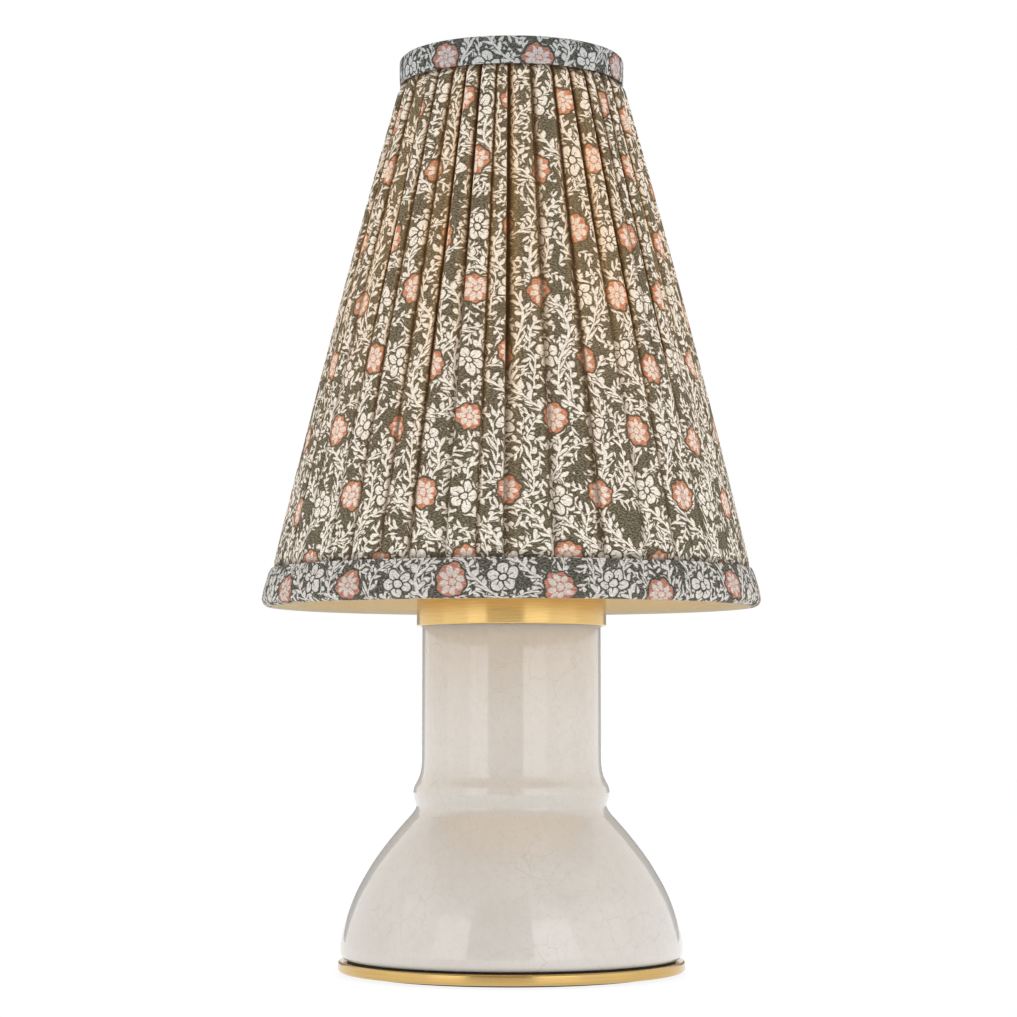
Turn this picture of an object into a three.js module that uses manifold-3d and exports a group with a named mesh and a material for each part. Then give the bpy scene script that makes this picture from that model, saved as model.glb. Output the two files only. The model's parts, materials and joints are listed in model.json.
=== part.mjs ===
// Cordless table lamp: a glazed ceramic base trimmed in brass, a rechargeable light engine and a gathered
// fabric shade on a spider. Millimetres, +Z up. The origin is on the table under the lamp's axis, the front
// faces -Y, and the charging port and the push button are at the rear.
import * as THREE from 'three';
import { mergeVertices, toCreasedNormals } from 'three/addons/utils/BufferGeometryUtils.js';
import Module from 'manifold-3d';

const wasm = await Module();
wasm.setup();

// Fits between neighbouring pieces
const seatGap = 0.3;
const threadGap = 0.2;
const turningGap = 0.4;

// Foot and base plate
const footStandOff = 1.0;
const footRingInset = 1.0;
const footRingInner = 43;
const footRingWidth = 6;
const plateRadius = 56.15;
const plateThickness = 3.5;
const plateEdge = 0.55;
const plateBossRadius = 13;
const plateBossHeight = 4.1;
const plateRimHeight = 1.8;
const plateRimWidth = 1.5;
const footGasket = 0.5;

// Ceramic body: radii and heights above its foot
const ceramicHeight = 114.9;
const ceramicWall = 5.2;
const bellyRadius = 55.6;
const bellyHeight = 3;
const shoulderRadius = 33.9;
const shoulderHeight = 44.6;
const shoulderPullRadius = 53.4;
const shoulderPullHeight = 23.3;
const valleyRadius = 31.04;
const valleyHeight = 49.4;
const beadRadius = 31.95;
const beadTopHeight = 56.25;
const neckRadius = 29.14;
const neckStartHeight = 65;
const neckWall = 5.4;

// Collar, tie rod and light engine
const neckGasket = 0.5;
const collarRadius = 30.93;
const collarHeight = 10;
const collarPlate = 2;
const collarChamfer = 0.6;
const tieRodRadius = 5;
const tieRodBore = 3.3;
const washerThickness = 1;
const nutAcrossFlats = 14;
const nutThickness = 3;
const lightBaseRadius = 25.5;
const lightBaseFlange = 6;
const lightSpigotHeight = 6;
const diffuserRadius = 24;
const diffuserWall = 2;
const diffuserHeight = 88;
const diffuserCapThickness = 3;
const ledCoreWidth = 24;
const ledCoreHeight = 74;
const ledCoreWall = 3.4;
const ledStripWidth = 14;
const ledStripThickness = 1;
const ledStripLength = 70;
const ledChipSize = 3.5;
const ledChipCount = 6;
const couplerRadius = 8;
const couplerLength = 20;

// Centre rod, shade seat and finial
const centreRodRadius = 3;
const capNutAcrossFlats = 10;
const capNutThickness = 3.5;
const shadeSeatRise = 162.8;
const shadeSeatRadius = 8;
const shadeSeatThickness = 4;
const seatWasherThickness = 0.8;
const hubRadius = 10;
const hubThickness = 2;
const finialWasherThickness = 0.8;
const finialRadius = 4.7;
const finialFlangeRadius = 5.5;
const finialFlangeThickness = 1.5;
const finialThread = 5.8;

// Shade: sizes over the cloth
const shadeHeight = 181.5;
const spiderDrop = 14;
const topPuff = 0.15;
const hemFlare = 3.37;
const topBandHeight = 9.3;
const bottomBandHeight = 12.4;
const topBandRadius = 37.05;
const bottomBandRadius = 81.37;
const bandThickness = 0.7;
const bandFlare = 17;
const bandWrap = 105;
const hemReturn = 4.8;
const topBandTaper = 0.25;
const foldCount = 42;
const foldDepthTop = 2.0;
const foldDepthBottom = 1.1;
const foldTuck = 0.5;
const clothBow = 0.9;
const clothThickness = 0.6;
const liningThickness = 0.8;
const bottomWireRadius = 1.5;
const topWireRadius = 1.0;
const ringWireFacets = 6;
const armWireRadius = 1.3;
const armCount = 3;

// Battery, control board, charging port and button
const cellRadius = 9.25;
const cellLength = 65.2;
const cellSpacing = 31;
const cellLift = 4.35;
const trayEndWall = 2;
const traySideWall = 1.95;
const trayHeight = 17;
const trayScrewSpacing = 48;
const trayScrewRadius = 1.5;
const trayScrewHeadRadius = 3;
const trayScrewHeadThickness = 1.7;
const trayScrewTip = 4;
const trayCorner = 4;
const trayShelf = 2.5;
const linkThickness = 0.4;
const linkWidth = 8;
const linkTabWidth = 6;
const linkTabRise = 1;
const portHeight = 9;
const portLength = 28;
const portWidth = 10;
const portLip = 1.6;
const portLipProud = 1.2;
const bezelWall = 1.2;
const bezelFace = 3;
const usbWidth = 8.94;
const usbHeight = 3.26;
const usbWall = 0.3;
const usbDepth = 11.4;
const usbOffset = -6;
const usbRecess = 0.6;
const usbTongueWidth = 6.6;
const usbTongueThickness = 0.7;
const buttonRadius = 3.1;
const buttonTravel = 0.8;
const buttonOffset = 9;
const plungerRadius = 1.2;
const plungerLength = 2.2;
const switchWidth = 6;
const switchDepth = 3.8;
const lightPipeRadius = 0.9;
const lightPipeOffset = 1.9;
const boardThickness = 1.6;
const boardWidth = 30;
const boardLength = 19.5;
const boardEdge = 46.5;
const boardScrewSpacing = 24;
const boardScrewRadius = 1.1;
const boardScrewHeadRadius = 2.2;
const boardScrewHeadThickness = 1.5;
const boardScrewInset = 3;
const boardPostInset = 3.5;
const boardPostRadius = 2.4;
const batterySocketOffset = 11;
const batterySocketWidth = 4;
const batterySocketInset = 9;
const batterySocketHeight = 4.4;
const ledSocketInset = 6;
const ledSocketHeight = 4.2;
const leadRadius = 1.1;
const leadRise = 8;
const leadBend = 21;
const leadStraight = 15;
const leadTail = 5;

// Roundness of turned pieces, in sides
const largeSides = 40;
const shadeSides = 36;
const lightSides = 28;
const smallSides = 16;
const cornerSteps = 2;

// Heights and radii that follow from the sizes above
const plateTop = footStandOff + plateThickness;
const bossTop = plateTop + plateBossHeight;
const plateWeb = plateBossHeight - 0.6;
const ceramicFoot = plateTop + footGasket;
const ceramicTop = ceramicFoot + ceramicHeight;
const bellyInner = bellyRadius - ceramicWall;
const neckInner = neckRadius - neckWall;
const collarTop = ceramicTop + neckGasket + collarPlate;
const flangeTop = collarTop + lightBaseFlange;
const spigotTop = flangeTop + lightSpigotHeight;
const spigotRadius = diffuserRadius - diffuserWall - seatGap;
const couplerBottom = flangeTop + washerThickness;
const couplerMiddle = couplerBottom + couplerLength / 2;
const diffuserTop = flangeTop + diffuserHeight;
const capTop = diffuserTop + diffuserCapThickness;
const seatTop = collarTop + shadeSeatRise;
const hubBottom = seatTop + seatWasherThickness;
const hubTop = hubBottom + hubThickness;
const finialBottom = hubTop + finialWasherThickness;
const rodTop = finialBottom + finialThread;
const shadeTop = hubBottom + spiderDrop;
const shadeBottom = shadeTop - shadeHeight;
const topWrap = topWireRadius + seatGap + bandThickness;
const bottomWrap = bottomWireRadius + seatGap + bandThickness;
const topRing = new THREE.Vector2(topBandRadius - topWrap, shadeTop - topWrap);
const bottomRing = new THREE.Vector2(bottomBandRadius - bottomWrap, shadeBottom + bottomWrap);
const coneTopRadius = topBandRadius + topPuff;
const coneBottomRadius = bottomBandRadius - hemFlare;
const topBandEdge = shadeTop - topBandHeight;
const bottomBandEdge = shadeBottom + bottomBandHeight;
const clothTop = topRing.y - topWireRadius - seatGap;
const clothBottom = bottomRing.y + bottomWireRadius + seatGap;
const coneSlope = (coneBottomRadius - coneTopRadius) / (topBandEdge - bottomBandEdge);
const cellAxis = plateTop + cellLift + cellRadius;
const trayTop = plateTop + trayHeight;
const trayHalfLength = cellLength / 2 + linkThickness + seatGap + trayEndWall;
const trayHalfWidth = cellSpacing / 2 + cellRadius + seatGap + traySideWall;
const portAxis = ceramicFoot + portHeight;
const boardTop = portAxis - usbHeight / 2;
const boardBottom = boardTop - boardThickness;
const boardRear = boardEdge - boardLength;
const linkTop = cellAxis + cellRadius + linkTabRise;
const boardScrewY = boardRear + boardScrewInset;
const trayScrewEnd = cellAxis - trayScrewTip;
const shelfTop = plateTop + trayShelf;
const ledHoleY = ledCoreWidth / 2 + ledStripThickness + seatGap + leadRadius;
const fullTurn = Math.PI * 2;

// Solids as merged, outward-facing meshes
function outward(source) {
  const bare = new THREE.BufferGeometry();
  bare.setAttribute('position', source.getAttribute('position'));
  bare.setIndex(source.index);
  const merged = mergeVertices(bare, 1e-4);
  const index = merged.index.array;
  const place = merged.getAttribute('position');
  const corners = [0, 1, 2].map(() => new THREE.Vector3());
  const kept = [];
  let volume = 0;
  for (let i = 0; i < index.length; i += 3) {
    const [a, b, c] = [index[i], index[i + 1], index[i + 2]];
    if (a === b || b === c || c === a) continue;
    kept.push(a, b, c);
    [a, b, c].forEach((vertex, k) => corners[k].fromBufferAttribute(place, vertex));
    volume += corners[0].dot(corners[1].cross(corners[2]));
  }
  merged.setIndex(volume < 0 ? kept.reverse() : kept);
  return merged;
}

function toManifold(geometry) {
  const closed = outward(geometry);
  return new wasm.Manifold(new wasm.Mesh({
    numProp: 3,
    vertProperties: closed.getAttribute('position').array,
    triVerts: new Uint32Array(closed.index.array),
  }));
}

function toGeometry(solid) {
  const mesh = solid.getMesh();
  const geometry = new THREE.BufferGeometry();
  geometry.setAttribute('position', new THREE.BufferAttribute(mesh.vertProperties, 3));
  geometry.setIndex(new THREE.BufferAttribute(mesh.triVerts, 1));
  return geometry;
}

function combine(method, first, others) {
  return toGeometry(others.map(toManifold).reduce((sum, next) => sum[method](next), toManifold(first)));
}

const join = (first, ...others) => combine('add', first, others);
const cut = (first, ...others) => combine('subtract', first, others);
const common = (first, ...others) => combine('intersect', first, others);

// A body of revolution about +Z from [radius, height] points that end on the axis or close on themselves
function turned(profile, sides = largeSides) {
  const points = profile.map((p) => (p.isVector2 ? p : new THREE.Vector2(...p)));
  if (points[0].x > 0) points.push(points[0].clone());
  return outward(new THREE.LatheGeometry(points, sides).rotateX(Math.PI / 2));
}

function ring(inner, outer, bottom, top, sides = lightSides) {
  return turned([[inner, bottom], [outer, bottom], [outer, top], [inner, top]], sides);
}

// A prism of a flat outline: along y the outline is drawn in x and z, along x in y and z
function prism(shape, axis, from, to, arcSteps = smallSides / 2) {
  const options = { depth: to - from, bevelEnabled: false, curveSegments: arcSteps };
  const body = new THREE.ExtrudeGeometry(shape, options);
  if (axis === 'x') {
    const [x, y, z] = [[1, 0, 0], [0, 1, 0], [0, 0, 1]].map((v) => new THREE.Vector3(...v));
    return body.applyMatrix4(new THREE.Matrix4().makeBasis(y, z, x)).translate(from, 0, 0);
  }
  if (axis === 'y') return body.rotateX(Math.PI / 2).translate(0, to, 0);
  return body.translate(0, 0, from);
}

function circle(u, v, radius) {
  return new THREE.Shape().absarc(u, v, radius, 0, fullTurn);
}

function pin(axis, u, v, radius, from, to) {
  return prism(circle(u, v, radius), axis, from, to);
}

function block(x0, x1, y0, y1, z0, z1) {
  const centre = [(x0 + x1) / 2, (y0 + y1) / 2, (z0 + z1) / 2];
  return new THREE.BoxGeometry(x1 - x0, y1 - y0, z1 - z0).translate(...centre);
}

function stadium(u, v, length, width) {
  const half = (length - width) / 2;
  return new THREE.Shape()
    .absarc(u + half, v, width / 2, -Math.PI / 2, Math.PI / 2)
    .absarc(u - half, v, width / 2, Math.PI / 2, (3 * Math.PI) / 2);
}

function roundedRectangle(halfLength, halfWidth, radius) {
  return new THREE.Shape()
    .absarc(halfLength - radius, halfWidth - radius, radius, 0, Math.PI / 2)
    .absarc(radius - halfLength, halfWidth - radius, radius, Math.PI / 2, Math.PI)
    .absarc(radius - halfLength, radius - halfWidth, radius, Math.PI, (3 * Math.PI) / 2)
    .absarc(halfLength - radius, radius - halfWidth, radius, (3 * Math.PI) / 2, fullTurn);
}

function hexNut(acrossFlats, boreRadius, bottom, top) {
  const corners = Array.from({ length: 6 }, (_, i) => {
    const angle = (i * fullTurn) / 6;
    return new THREE.Vector2(Math.cos(angle), Math.sin(angle)).multiplyScalar(acrossFlats / Math.sqrt(3));
  });
  const outline = new THREE.Shape(corners);
  outline.holes.push(new THREE.Path().absarc(0, 0, boreRadius, 0, fullTurn));
  return prism(outline, 'z', bottom, top);
}

// A round bar or lead that follows a smooth curve through points chosen by hand
function tubeAlong(points, radius, sides, steps) {
  const curve = new THREE.CatmullRomCurve3(points.map((p) => new THREE.Vector3(...p)));
  const section = new THREE.Shape(Array.from({ length: sides }, (_, i) => {
    const angle = (i * fullTurn) / sides;
    return new THREE.Vector2(radius * Math.cos(angle), radius * Math.sin(angle));
  }));
  return new THREE.ExtrudeGeometry(section, { extrudePath: curve, steps, bevelEnabled: false });
}

// Ceramic body
function ceramicOutline() {
  const above = (height) => ceramicFoot + height;
  const outline = new THREE.Path();
  outline.moveTo(bellyRadius - 2.4, ceramicFoot);
  outline.quadraticCurveTo(bellyRadius - 0.2, ceramicFoot, bellyRadius, above(bellyHeight));
  outline.quadraticCurveTo(
    shoulderPullRadius, above(shoulderPullHeight), shoulderRadius, above(shoulderHeight));
  outline.quadraticCurveTo(
    valleyRadius + 0.3, above((shoulderHeight + valleyHeight) / 2 + 0.4), valleyRadius, above(valleyHeight));
  outline.quadraticCurveTo(
    2 * beadRadius - valleyRadius, above((valleyHeight + beadTopHeight) / 2),
    valleyRadius, above(beadTopHeight));
  outline.quadraticCurveTo(
    neckRadius, above(beadTopHeight + 2.2), neckRadius, above(neckStartHeight));
  return outline;
}

const ceramicSkin = ceramicOutline().getPoints(3);

function ceramicBody() {
  const hollow = new THREE.Path();
  const shoulderInner = shoulderRadius - 0.72 * ceramicWall;
  hollow.moveTo(neckInner, ceramicTop);
  hollow.lineTo(neckInner, ceramicFoot + neckStartHeight - ceramicWall);
  hollow.quadraticCurveTo(
    neckInner, ceramicFoot + shoulderHeight + 1,
    shoulderInner, ceramicFoot + shoulderHeight - 0.7 * ceramicWall);
  hollow.quadraticCurveTo(
    shoulderPullRadius - 0.9 * ceramicWall, ceramicFoot + shoulderPullHeight - 0.4 * ceramicWall,
    bellyInner, ceramicFoot + bellyHeight);
  hollow.lineTo(bellyInner, ceramicFoot);
  const rim = [[neckRadius, ceramicTop - 0.8], [neckRadius - 0.8, ceramicTop]];
  const body = turned([...ceramicSkin, ...rim, ...hollow.getPoints(3)]);
  const port = stadium(0, portAxis, portLength + 2 * seatGap, portWidth + 2 * seatGap);
  return cut(body, prism(port, 'y', bellyInner / 2, bellyRadius + portLip, cornerSteps + 1));
}

// The ceramic's outer surface around the port, moved outwards
function portSkin(offset) {
  const low = portAxis - portWidth;
  const high = portAxis + portWidth;
  const side = ceramicSkin.filter((p) => p.y > low && p.y < high);
  return turned([[0, side[0].y], ...side.map((p) => [p.x + offset, p.y]), [0, side.at(-1).y]]);
}

// Base plate, foot and their fixings
function basePlate() {
  const edge = plateRadius - plateEdge;
  const groove = [footRingInner - seatGap, footRingInner + footRingWidth + seatGap];
  const grooveTop = footStandOff + footRingInset;
  const recess = plateBossRadius - 3;
  const web = bossTop - plateWeb;
  const bore = tieRodRadius + seatGap;
  const rim = bellyInner - seatGap;
  const bend = plateEdge * 0.3;
  const plate = turned([
    [bore, web], [recess, web], [recess, footStandOff],
    [groove[0], footStandOff], [groove[0], grooveTop], [groove[1], grooveTop], [groove[1], footStandOff],
    [edge, footStandOff], [plateRadius, footStandOff + plateEdge],
    [plateRadius, plateTop - plateEdge], [plateRadius - bend, plateTop - bend], [edge, plateTop],
    [rim, plateTop], [rim, plateTop + plateRimHeight],
    [rim - plateRimWidth, plateTop + plateRimHeight], [rim - plateRimWidth, plateTop],
    [plateBossRadius, plateTop], [plateBossRadius, bossTop], [bore, bossTop],
  ]);
  const screwHoles = [-1, 1].flatMap((side) => {
    const x = (side * trayScrewSpacing) / 2;
    const seat = footStandOff + trayScrewHeadThickness + seatGap;
    return [
      pin('z', x, 0, trayScrewRadius + seatGap, 0, bossTop),
      pin('z', x, 0, trayScrewHeadRadius + seatGap, 0, seat),
    ];
  });
  return cut(plate, ...screwHoles);
}

function screw(x, y, shankRadius, headRadius, tip, headBottom, headTop, headBelow) {
  const [seat, end] = headBelow ? [headTop, headBottom] : [headBottom, headTop];
  const dome = seat + (end - seat) * 0.55;
  return turned([
    [0, end], [headRadius * 0.7, end], [headRadius, dome], [headRadius, seat],
    [shankRadius, seat], [shankRadius, tip + (seat - tip) * 0.08], [0, tip],
  ], 12).translate(x, y, 0);
}

// Collar and light engine
function collar() {
  const inner = neckRadius + seatGap;
  const bottom = collarTop - collarHeight;
  const cap = turned([
    [tieRodRadius + seatGap, collarTop - collarPlate], [inner, collarTop - collarPlate],
    [inner, bottom + collarChamfer], [inner + collarChamfer / 2, bottom],
    [collarRadius - collarChamfer / 2, bottom], [collarRadius, bottom + collarChamfer],
    [collarRadius, collarTop - collarChamfer], [collarRadius - collarChamfer, collarTop],
    [tieRodRadius + seatGap, collarTop],
  ]);
  return cut(cap, pin('z', 0, ledHoleY, leadRadius + seatGap, collarTop - collarHeight, collarTop + 1));
}

function lightBase() {
  const recess = couplerRadius + washerThickness + seatGap;
  const base = turned([
    [tieRodRadius + seatGap, collarTop], [lightBaseRadius - 0.6, collarTop],
    [lightBaseRadius, collarTop + 0.6],
    [lightBaseRadius, flangeTop], [spigotRadius, flangeTop], [spigotRadius, spigotTop],
    [recess, spigotTop], [recess, flangeTop], [tieRodRadius + seatGap, flangeTop],
  ], lightSides);
  return cut(base, pin('z', 0, ledHoleY, leadRadius + seatGap, collarTop - 1, spigotTop + 1));
}

function ledCore() {
  const half = ledCoreWidth / 2;
  const top = spigotTop + ledCoreHeight;
  const column = prism(roundedRectangle(half, half, 2), 'z', spigotTop, top, cornerSteps);
  return cut(column, pin('z', 0, 0, half - ledCoreWall, spigotTop - 1, top + 1));
}

function ledStrip(turns) {
  const face = ledCoreWidth / 2;
  const bottom = spigotTop + (ledCoreHeight - ledStripLength) / 2;
  const half = ledStripWidth / 2;
  const front = face + ledStripThickness;
  const board = block(-half, half, face, front, bottom, bottom + ledStripLength);
  const pitch = (ledStripLength - 8) / ledChipCount;
  const chips = Array.from({ length: ledChipCount }, (_, i) => {
    const z = bottom + 8 + pitch * (i + 0.5) - ledChipSize / 2;
    return block(-ledChipSize / 2, ledChipSize / 2, front - 0.3, front + 0.9, z, z + ledChipSize);
  });
  return join(board, ...chips).rotateZ((turns * Math.PI) / 2);
}

function rodCoupler() {
  const top = couplerBottom + couplerLength;
  return turned([
    [tieRodRadius + threadGap, couplerBottom], [couplerRadius - 0.5, couplerBottom],
    [couplerRadius, couplerBottom + 0.5], [couplerRadius, top - 0.5], [couplerRadius - 0.5, top],
    [centreRodRadius + threadGap, top], [centreRodRadius + threadGap, couplerMiddle],
    [tieRodRadius + threadGap, couplerMiddle],
  ], smallSides);
}

function diffuserCap() {
  const spigot = diffuserRadius - diffuserWall - seatGap;
  const spigotBottom = diffuserTop - 3;
  return turned([
    [centreRodRadius + seatGap, spigotBottom], [spigot, spigotBottom], [spigot, diffuserTop],
    [diffuserRadius + 0.4, diffuserTop], [diffuserRadius + 0.4, capTop - 1], [diffuserRadius - 0.6, capTop],
    [centreRodRadius + seatGap, capTop],
  ], lightSides);
}

function shadeSeat() {
  const bottom = seatTop - shadeSeatThickness;
  const bore = centreRodRadius + threadGap;
  return turned([
    [bore, bottom], [shadeSeatRadius - 3, bottom], [shadeSeatRadius - 2.4, seatTop - 1.6],
    [shadeSeatRadius, seatTop - 1.2], [shadeSeatRadius, seatTop], [bore, seatTop],
  ], smallSides);
}

function centreRod() {
  const bottom = couplerMiddle + seatGap;
  return turned([
    [0, bottom], [centreRodRadius, bottom], [centreRodRadius, rodTop - 0.8], [centreRodRadius - 0.8, rodTop],
    [0, rodTop],
  ], smallSides);
}

function finial() {
  const bore = centreRodRadius + threadGap;
  const boreTop = rodTop + 0.6;
  const flangeUpper = finialBottom + finialFlangeThickness;
  const neck = finialRadius * 0.9;
  const ballCentre = flangeUpper + finialRadius;
  const knob = new THREE.Path();
  knob.moveTo(bore, finialBottom);
  knob.lineTo(finialFlangeRadius, finialBottom);
  knob.lineTo(finialFlangeRadius, flangeUpper);
  knob.lineTo(neck, flangeUpper + 0.6);
  knob.absarc(0, ballCentre, finialRadius, -Math.PI / 6, Math.PI / 2);
  return turned([...knob.getPoints(4), [0, boreTop], [bore, boreTop], [bore, finialBottom]], smallSides);
}

// Shade: crest line of the gathered cloth, and what lies under it, by height
function crestRadius(z) {
  const up = THREE.MathUtils.clamp((z - bottomBandEdge) / (topBandEdge - bottomBandEdge), 0, 1);
  return coneBottomRadius - coneSlope * (z - bottomBandEdge) + 4 * clothBow * up * (1 - up);
}

function foldDepth(z) {
  return THREE.MathUtils.mapLinear(z, bottomBandEdge, topBandEdge, foldDepthBottom, foldDepthTop);
}

function liningRadius(z) {
  return crestRadius(z) - foldDepth(z) - clothThickness - seatGap;
}

function liningShell() {
  const outer = [clothBottom, clothTop].map((z) => [liningRadius(z), z]);
  const inner = outer.map(([r, z]) => [r - liningThickness, z]).reverse();
  return turned([...outer, ...inner], shadeSides);
}

// A closed strip of even thickness whose outer face follows the points in order
function bandAround(points, thickness) {
  const inner = points.map((p, i) => {
    const [before, after] = [points[Math.max(i - 1, 0)], points[Math.min(i + 1, points.length - 1)]];
    const along = after.clone().sub(before).normalize();
    return new THREE.Vector2(p.x + along.y * thickness, p.y - along.x * thickness);
  });
  return turned([...points, ...inner.reverse()], shadeSides);
}

function arcPoints(centre, radius, from, to, steps) {
  return Array.from({ length: steps + 1 }, (_, i) => {
    const angle = THREE.MathUtils.degToRad(from + ((to - from) * i) / steps);
    return new THREE.Vector2(centre.x + radius * Math.cos(angle), centre.y + radius * Math.sin(angle));
  });
}

// The hem band runs down at its flare, round the bottom wire and up inside the lining
function bottomBinding() {
  const slope = THREE.MathUtils.degToRad(bandFlare);
  const leg = Math.atan(coneSlope);
  const around = arcPoints(bottomRing, bottomWrap, bandFlare, THREE.MathUtils.radToDeg(leg - Math.PI), 4);
  const rise = bottomBandEdge - around[0].y;
  const start = new THREE.Vector2(around[0].x - rise * Math.tan(slope), bottomBandEdge);
  const last = around.at(-1);
  const end = new THREE.Vector2(last.x - hemReturn * Math.sin(leg), last.y + hemReturn * Math.cos(leg));
  return bandAround([start, ...around, end], bandThickness);
}

function bandInside(z) {
  const slope = THREE.MathUtils.degToRad(bandFlare);
  const face = bottomRing.x + bottomWrap / Math.cos(slope) - (z - bottomRing.y) * Math.tan(slope);
  return face - bandThickness / Math.cos(slope);
}

function topBinding() {
  const around = arcPoints(topRing, topWrap, 0, bandWrap, 3);
  const start = new THREE.Vector2(topBandRadius - topBandTaper, topBandEdge);
  return bandAround([start, ...around], -bandThickness);
}

function ringWire(centre, radius) {
  const facets = ringWireFacets - 1;
  return turned(arcPoints(centre, radius, 0, facets * (360 / ringWireFacets), facets), shadeSides);
}

function shadeSpider() {
  const hub = ring(centreRodRadius + turningGap, hubRadius, hubBottom, hubTop, smallSides);
  const armZ = hubBottom + armWireRadius + 0.1;
  const route = [
    [0, topRing.x, topRing.y], [0, topRing.x - 5, topRing.y], [0, topRing.x * 0.68, topRing.y - 2.2],
    [0, topRing.x * 0.42, armZ + 2], [0, hubRadius + 1.5, armZ], [0, hubRadius - 2, armZ],
  ];
  const arms = Array.from({ length: armCount }, (_, i) => {
    return tubeAlong(route, armWireRadius, 6, 9).rotateZ((i * fullTurn) / armCount);
  });
  return join(ringWire(topRing, topWireRadius), hub, ...arms);
}

// Gathered cloth: each fold has a broad rounded crest and a narrow valley, deeper towards the top
function gatheredCloth() {
  const widths = Array.from({ length: foldCount }, (_, i) => {
    return 1 + 0.3 * Math.sin(2.4 * i) + 0.18 * Math.sin(5.1 * i);
  });
  const total = widths.reduce((sum, width) => sum + width, 0);
  const columns = [];
  let start = 0;
  widths.forEach((width, i) => {
    const depth = 1 - 0.25 * Math.abs(Math.sin(1.7 * i));
    [[0.22, 0.12], [0.66, 0], [0.95, depth]].forEach(([share, sink]) => {
      columns.push({ angle: ((start + share * width) / total) * fullTurn, sink });
    });
    start += width;
  });
  const tucked = (inside) => (z, sink) => inside(z) - foldTuck - 0.4 * sink;
  const free = (z, sink) => crestRadius(z) - foldDepth(z) * sink;
  const underHem = tucked(bandInside);
  const underTop = tucked(() => topBandRadius - topBandTaper - bandThickness);
  const back = (z) => liningRadius(z) + seatGap;
  const rows = [
    [clothBottom, back],
    [clothBottom, underHem],
    [bottomBandEdge - seatGap, underHem],
    [bottomBandEdge + 0.5, free],
    [(bottomBandEdge + topBandEdge) / 2, free],
    [topBandEdge - 0.6, free],
    [topBandEdge - 0.2, underTop],
    [clothTop, underTop],
    [clothTop, back],
  ];
  const positions = rows.flatMap(([z, radius]) => columns.flatMap(({ angle, sink }) => {
    const r = radius(z, sink);
    return [r * Math.cos(angle), r * Math.sin(angle), z];
  }));
  const index = rows.flatMap((_, row) => columns.flatMap((__, column) => {
    const nextRow = ((row + 1) % rows.length) * columns.length;
    const thisRow = row * columns.length;
    const next = (column + 1) % columns.length;
    const [a, b] = [thisRow + column, thisRow + next];
    const [c, d] = [nextRow + next, nextRow + column];
    return [a, b, c, a, c, d];
  }));
  const geometry = new THREE.BufferGeometry();
  geometry.setAttribute('position', new THREE.Float32BufferAttribute(positions, 3));
  geometry.setIndex(index);
  return outward(geometry);
}

// Battery pack
function batteryTray() {
  const cellBed = [-1, 1].map((side) => {
    const reach = cellLength / 2 + linkThickness + seatGap;
    return pin('x', (side * cellSpacing) / 2, cellAxis, cellRadius + seatGap, -reach, reach);
  });
  const linkSlots = [-1, 1].map((side) => {
    const [near, far] = [cellLength / 2 - 0.5, cellLength / 2 + linkThickness + seatGap];
    const half = (cellSpacing + linkWidth) / 2 + seatGap;
    const [left, right] = side < 0 ? [-far, -near] : [near, far];
    return block(left, right, -half, half, cellAxis - linkWidth / 2 - seatGap, trayTop + 1);
  });
  const screwHoles = [-1, 1].map((side) => {
    const x = (side * trayScrewSpacing) / 2;
    return pin('z', x, 0, trayScrewRadius + seatGap, plateTop - 1, trayScrewEnd + 1);
  });
  const outline = roundedRectangle(trayHalfLength, trayHalfWidth, trayCorner);
  const bed = prism(outline, 'z', plateTop, trayTop, cornerSteps);
  const [shelfBack, shelfFront] = [trayHalfWidth - 3, boardEdge - 1.5];
  const shelf = block(-boardWidth / 2, boardWidth / 2, shelfBack, shelfFront, plateTop, shelfTop);
  const posts = [boardScrewY, boardEdge - boardPostInset].flatMap((y) => [-1, 1].map((side) => {
    return pin('z', (side * boardScrewSpacing) / 2, y, boardPostRadius, plateTop + 0.5, boardBottom);
  }));
  const postHoles = [-1, 1].map((side) => {
    const x = (side * boardScrewSpacing) / 2;
    return pin('z', x, boardScrewY, boardScrewRadius + seatGap, shelfTop - 1, boardBottom + 1);
  });
  const rodPocket = block(-9, 9, -cellSpacing / 2, cellSpacing / 2, cellAxis - 5.3, trayTop + 1);
  return cut(
    join(bed, shelf, ...posts), ...cellBed, ...linkSlots, ...screwHoles, ...postHoles, rodPocket,
    pin('z', 0, 0, plateBossRadius + seatGap, plateTop - 1, bossTop + seatGap),
    pin('z', 0, 0, tieRodRadius + seatGap, plateTop - 1, trayTop + 1));
}

function batteryCell(side) {
  const half = cellLength / 2;
  const y = (side * cellSpacing) / 2;
  const profile = [
    [0, -half], [cellRadius - 0.6, -half], [cellRadius, 0.6 - half], [cellRadius, half - 2.2],
    [cellRadius - 0.5, half - 1.8], [cellRadius, half - 1.4], [cellRadius, half - 0.6],
    [cellRadius - 0.6, half], [0, half],
  ];
  return turned(profile, smallSides).rotateY(Math.PI / 2).translate(0, y, cellAxis);
}

function cellLink(side) {
  const [near, far] = [cellLength / 2, cellLength / 2 + linkThickness];
  const half = (cellSpacing + linkWidth) / 2;
  const low = cellAxis - linkWidth / 2;
  const tabEdge = (cellSpacing - linkTabWidth) / 2;
  const bar = block(near, far, -half, half, low, low + linkWidth);
  const tab = block(near, far, tabEdge, tabEdge + linkTabWidth, low, linkTop);
  const link = join(bar, tab);
  return side < 0 ? outward(link.scale(-1, 1, 1)) : link;
}

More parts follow.
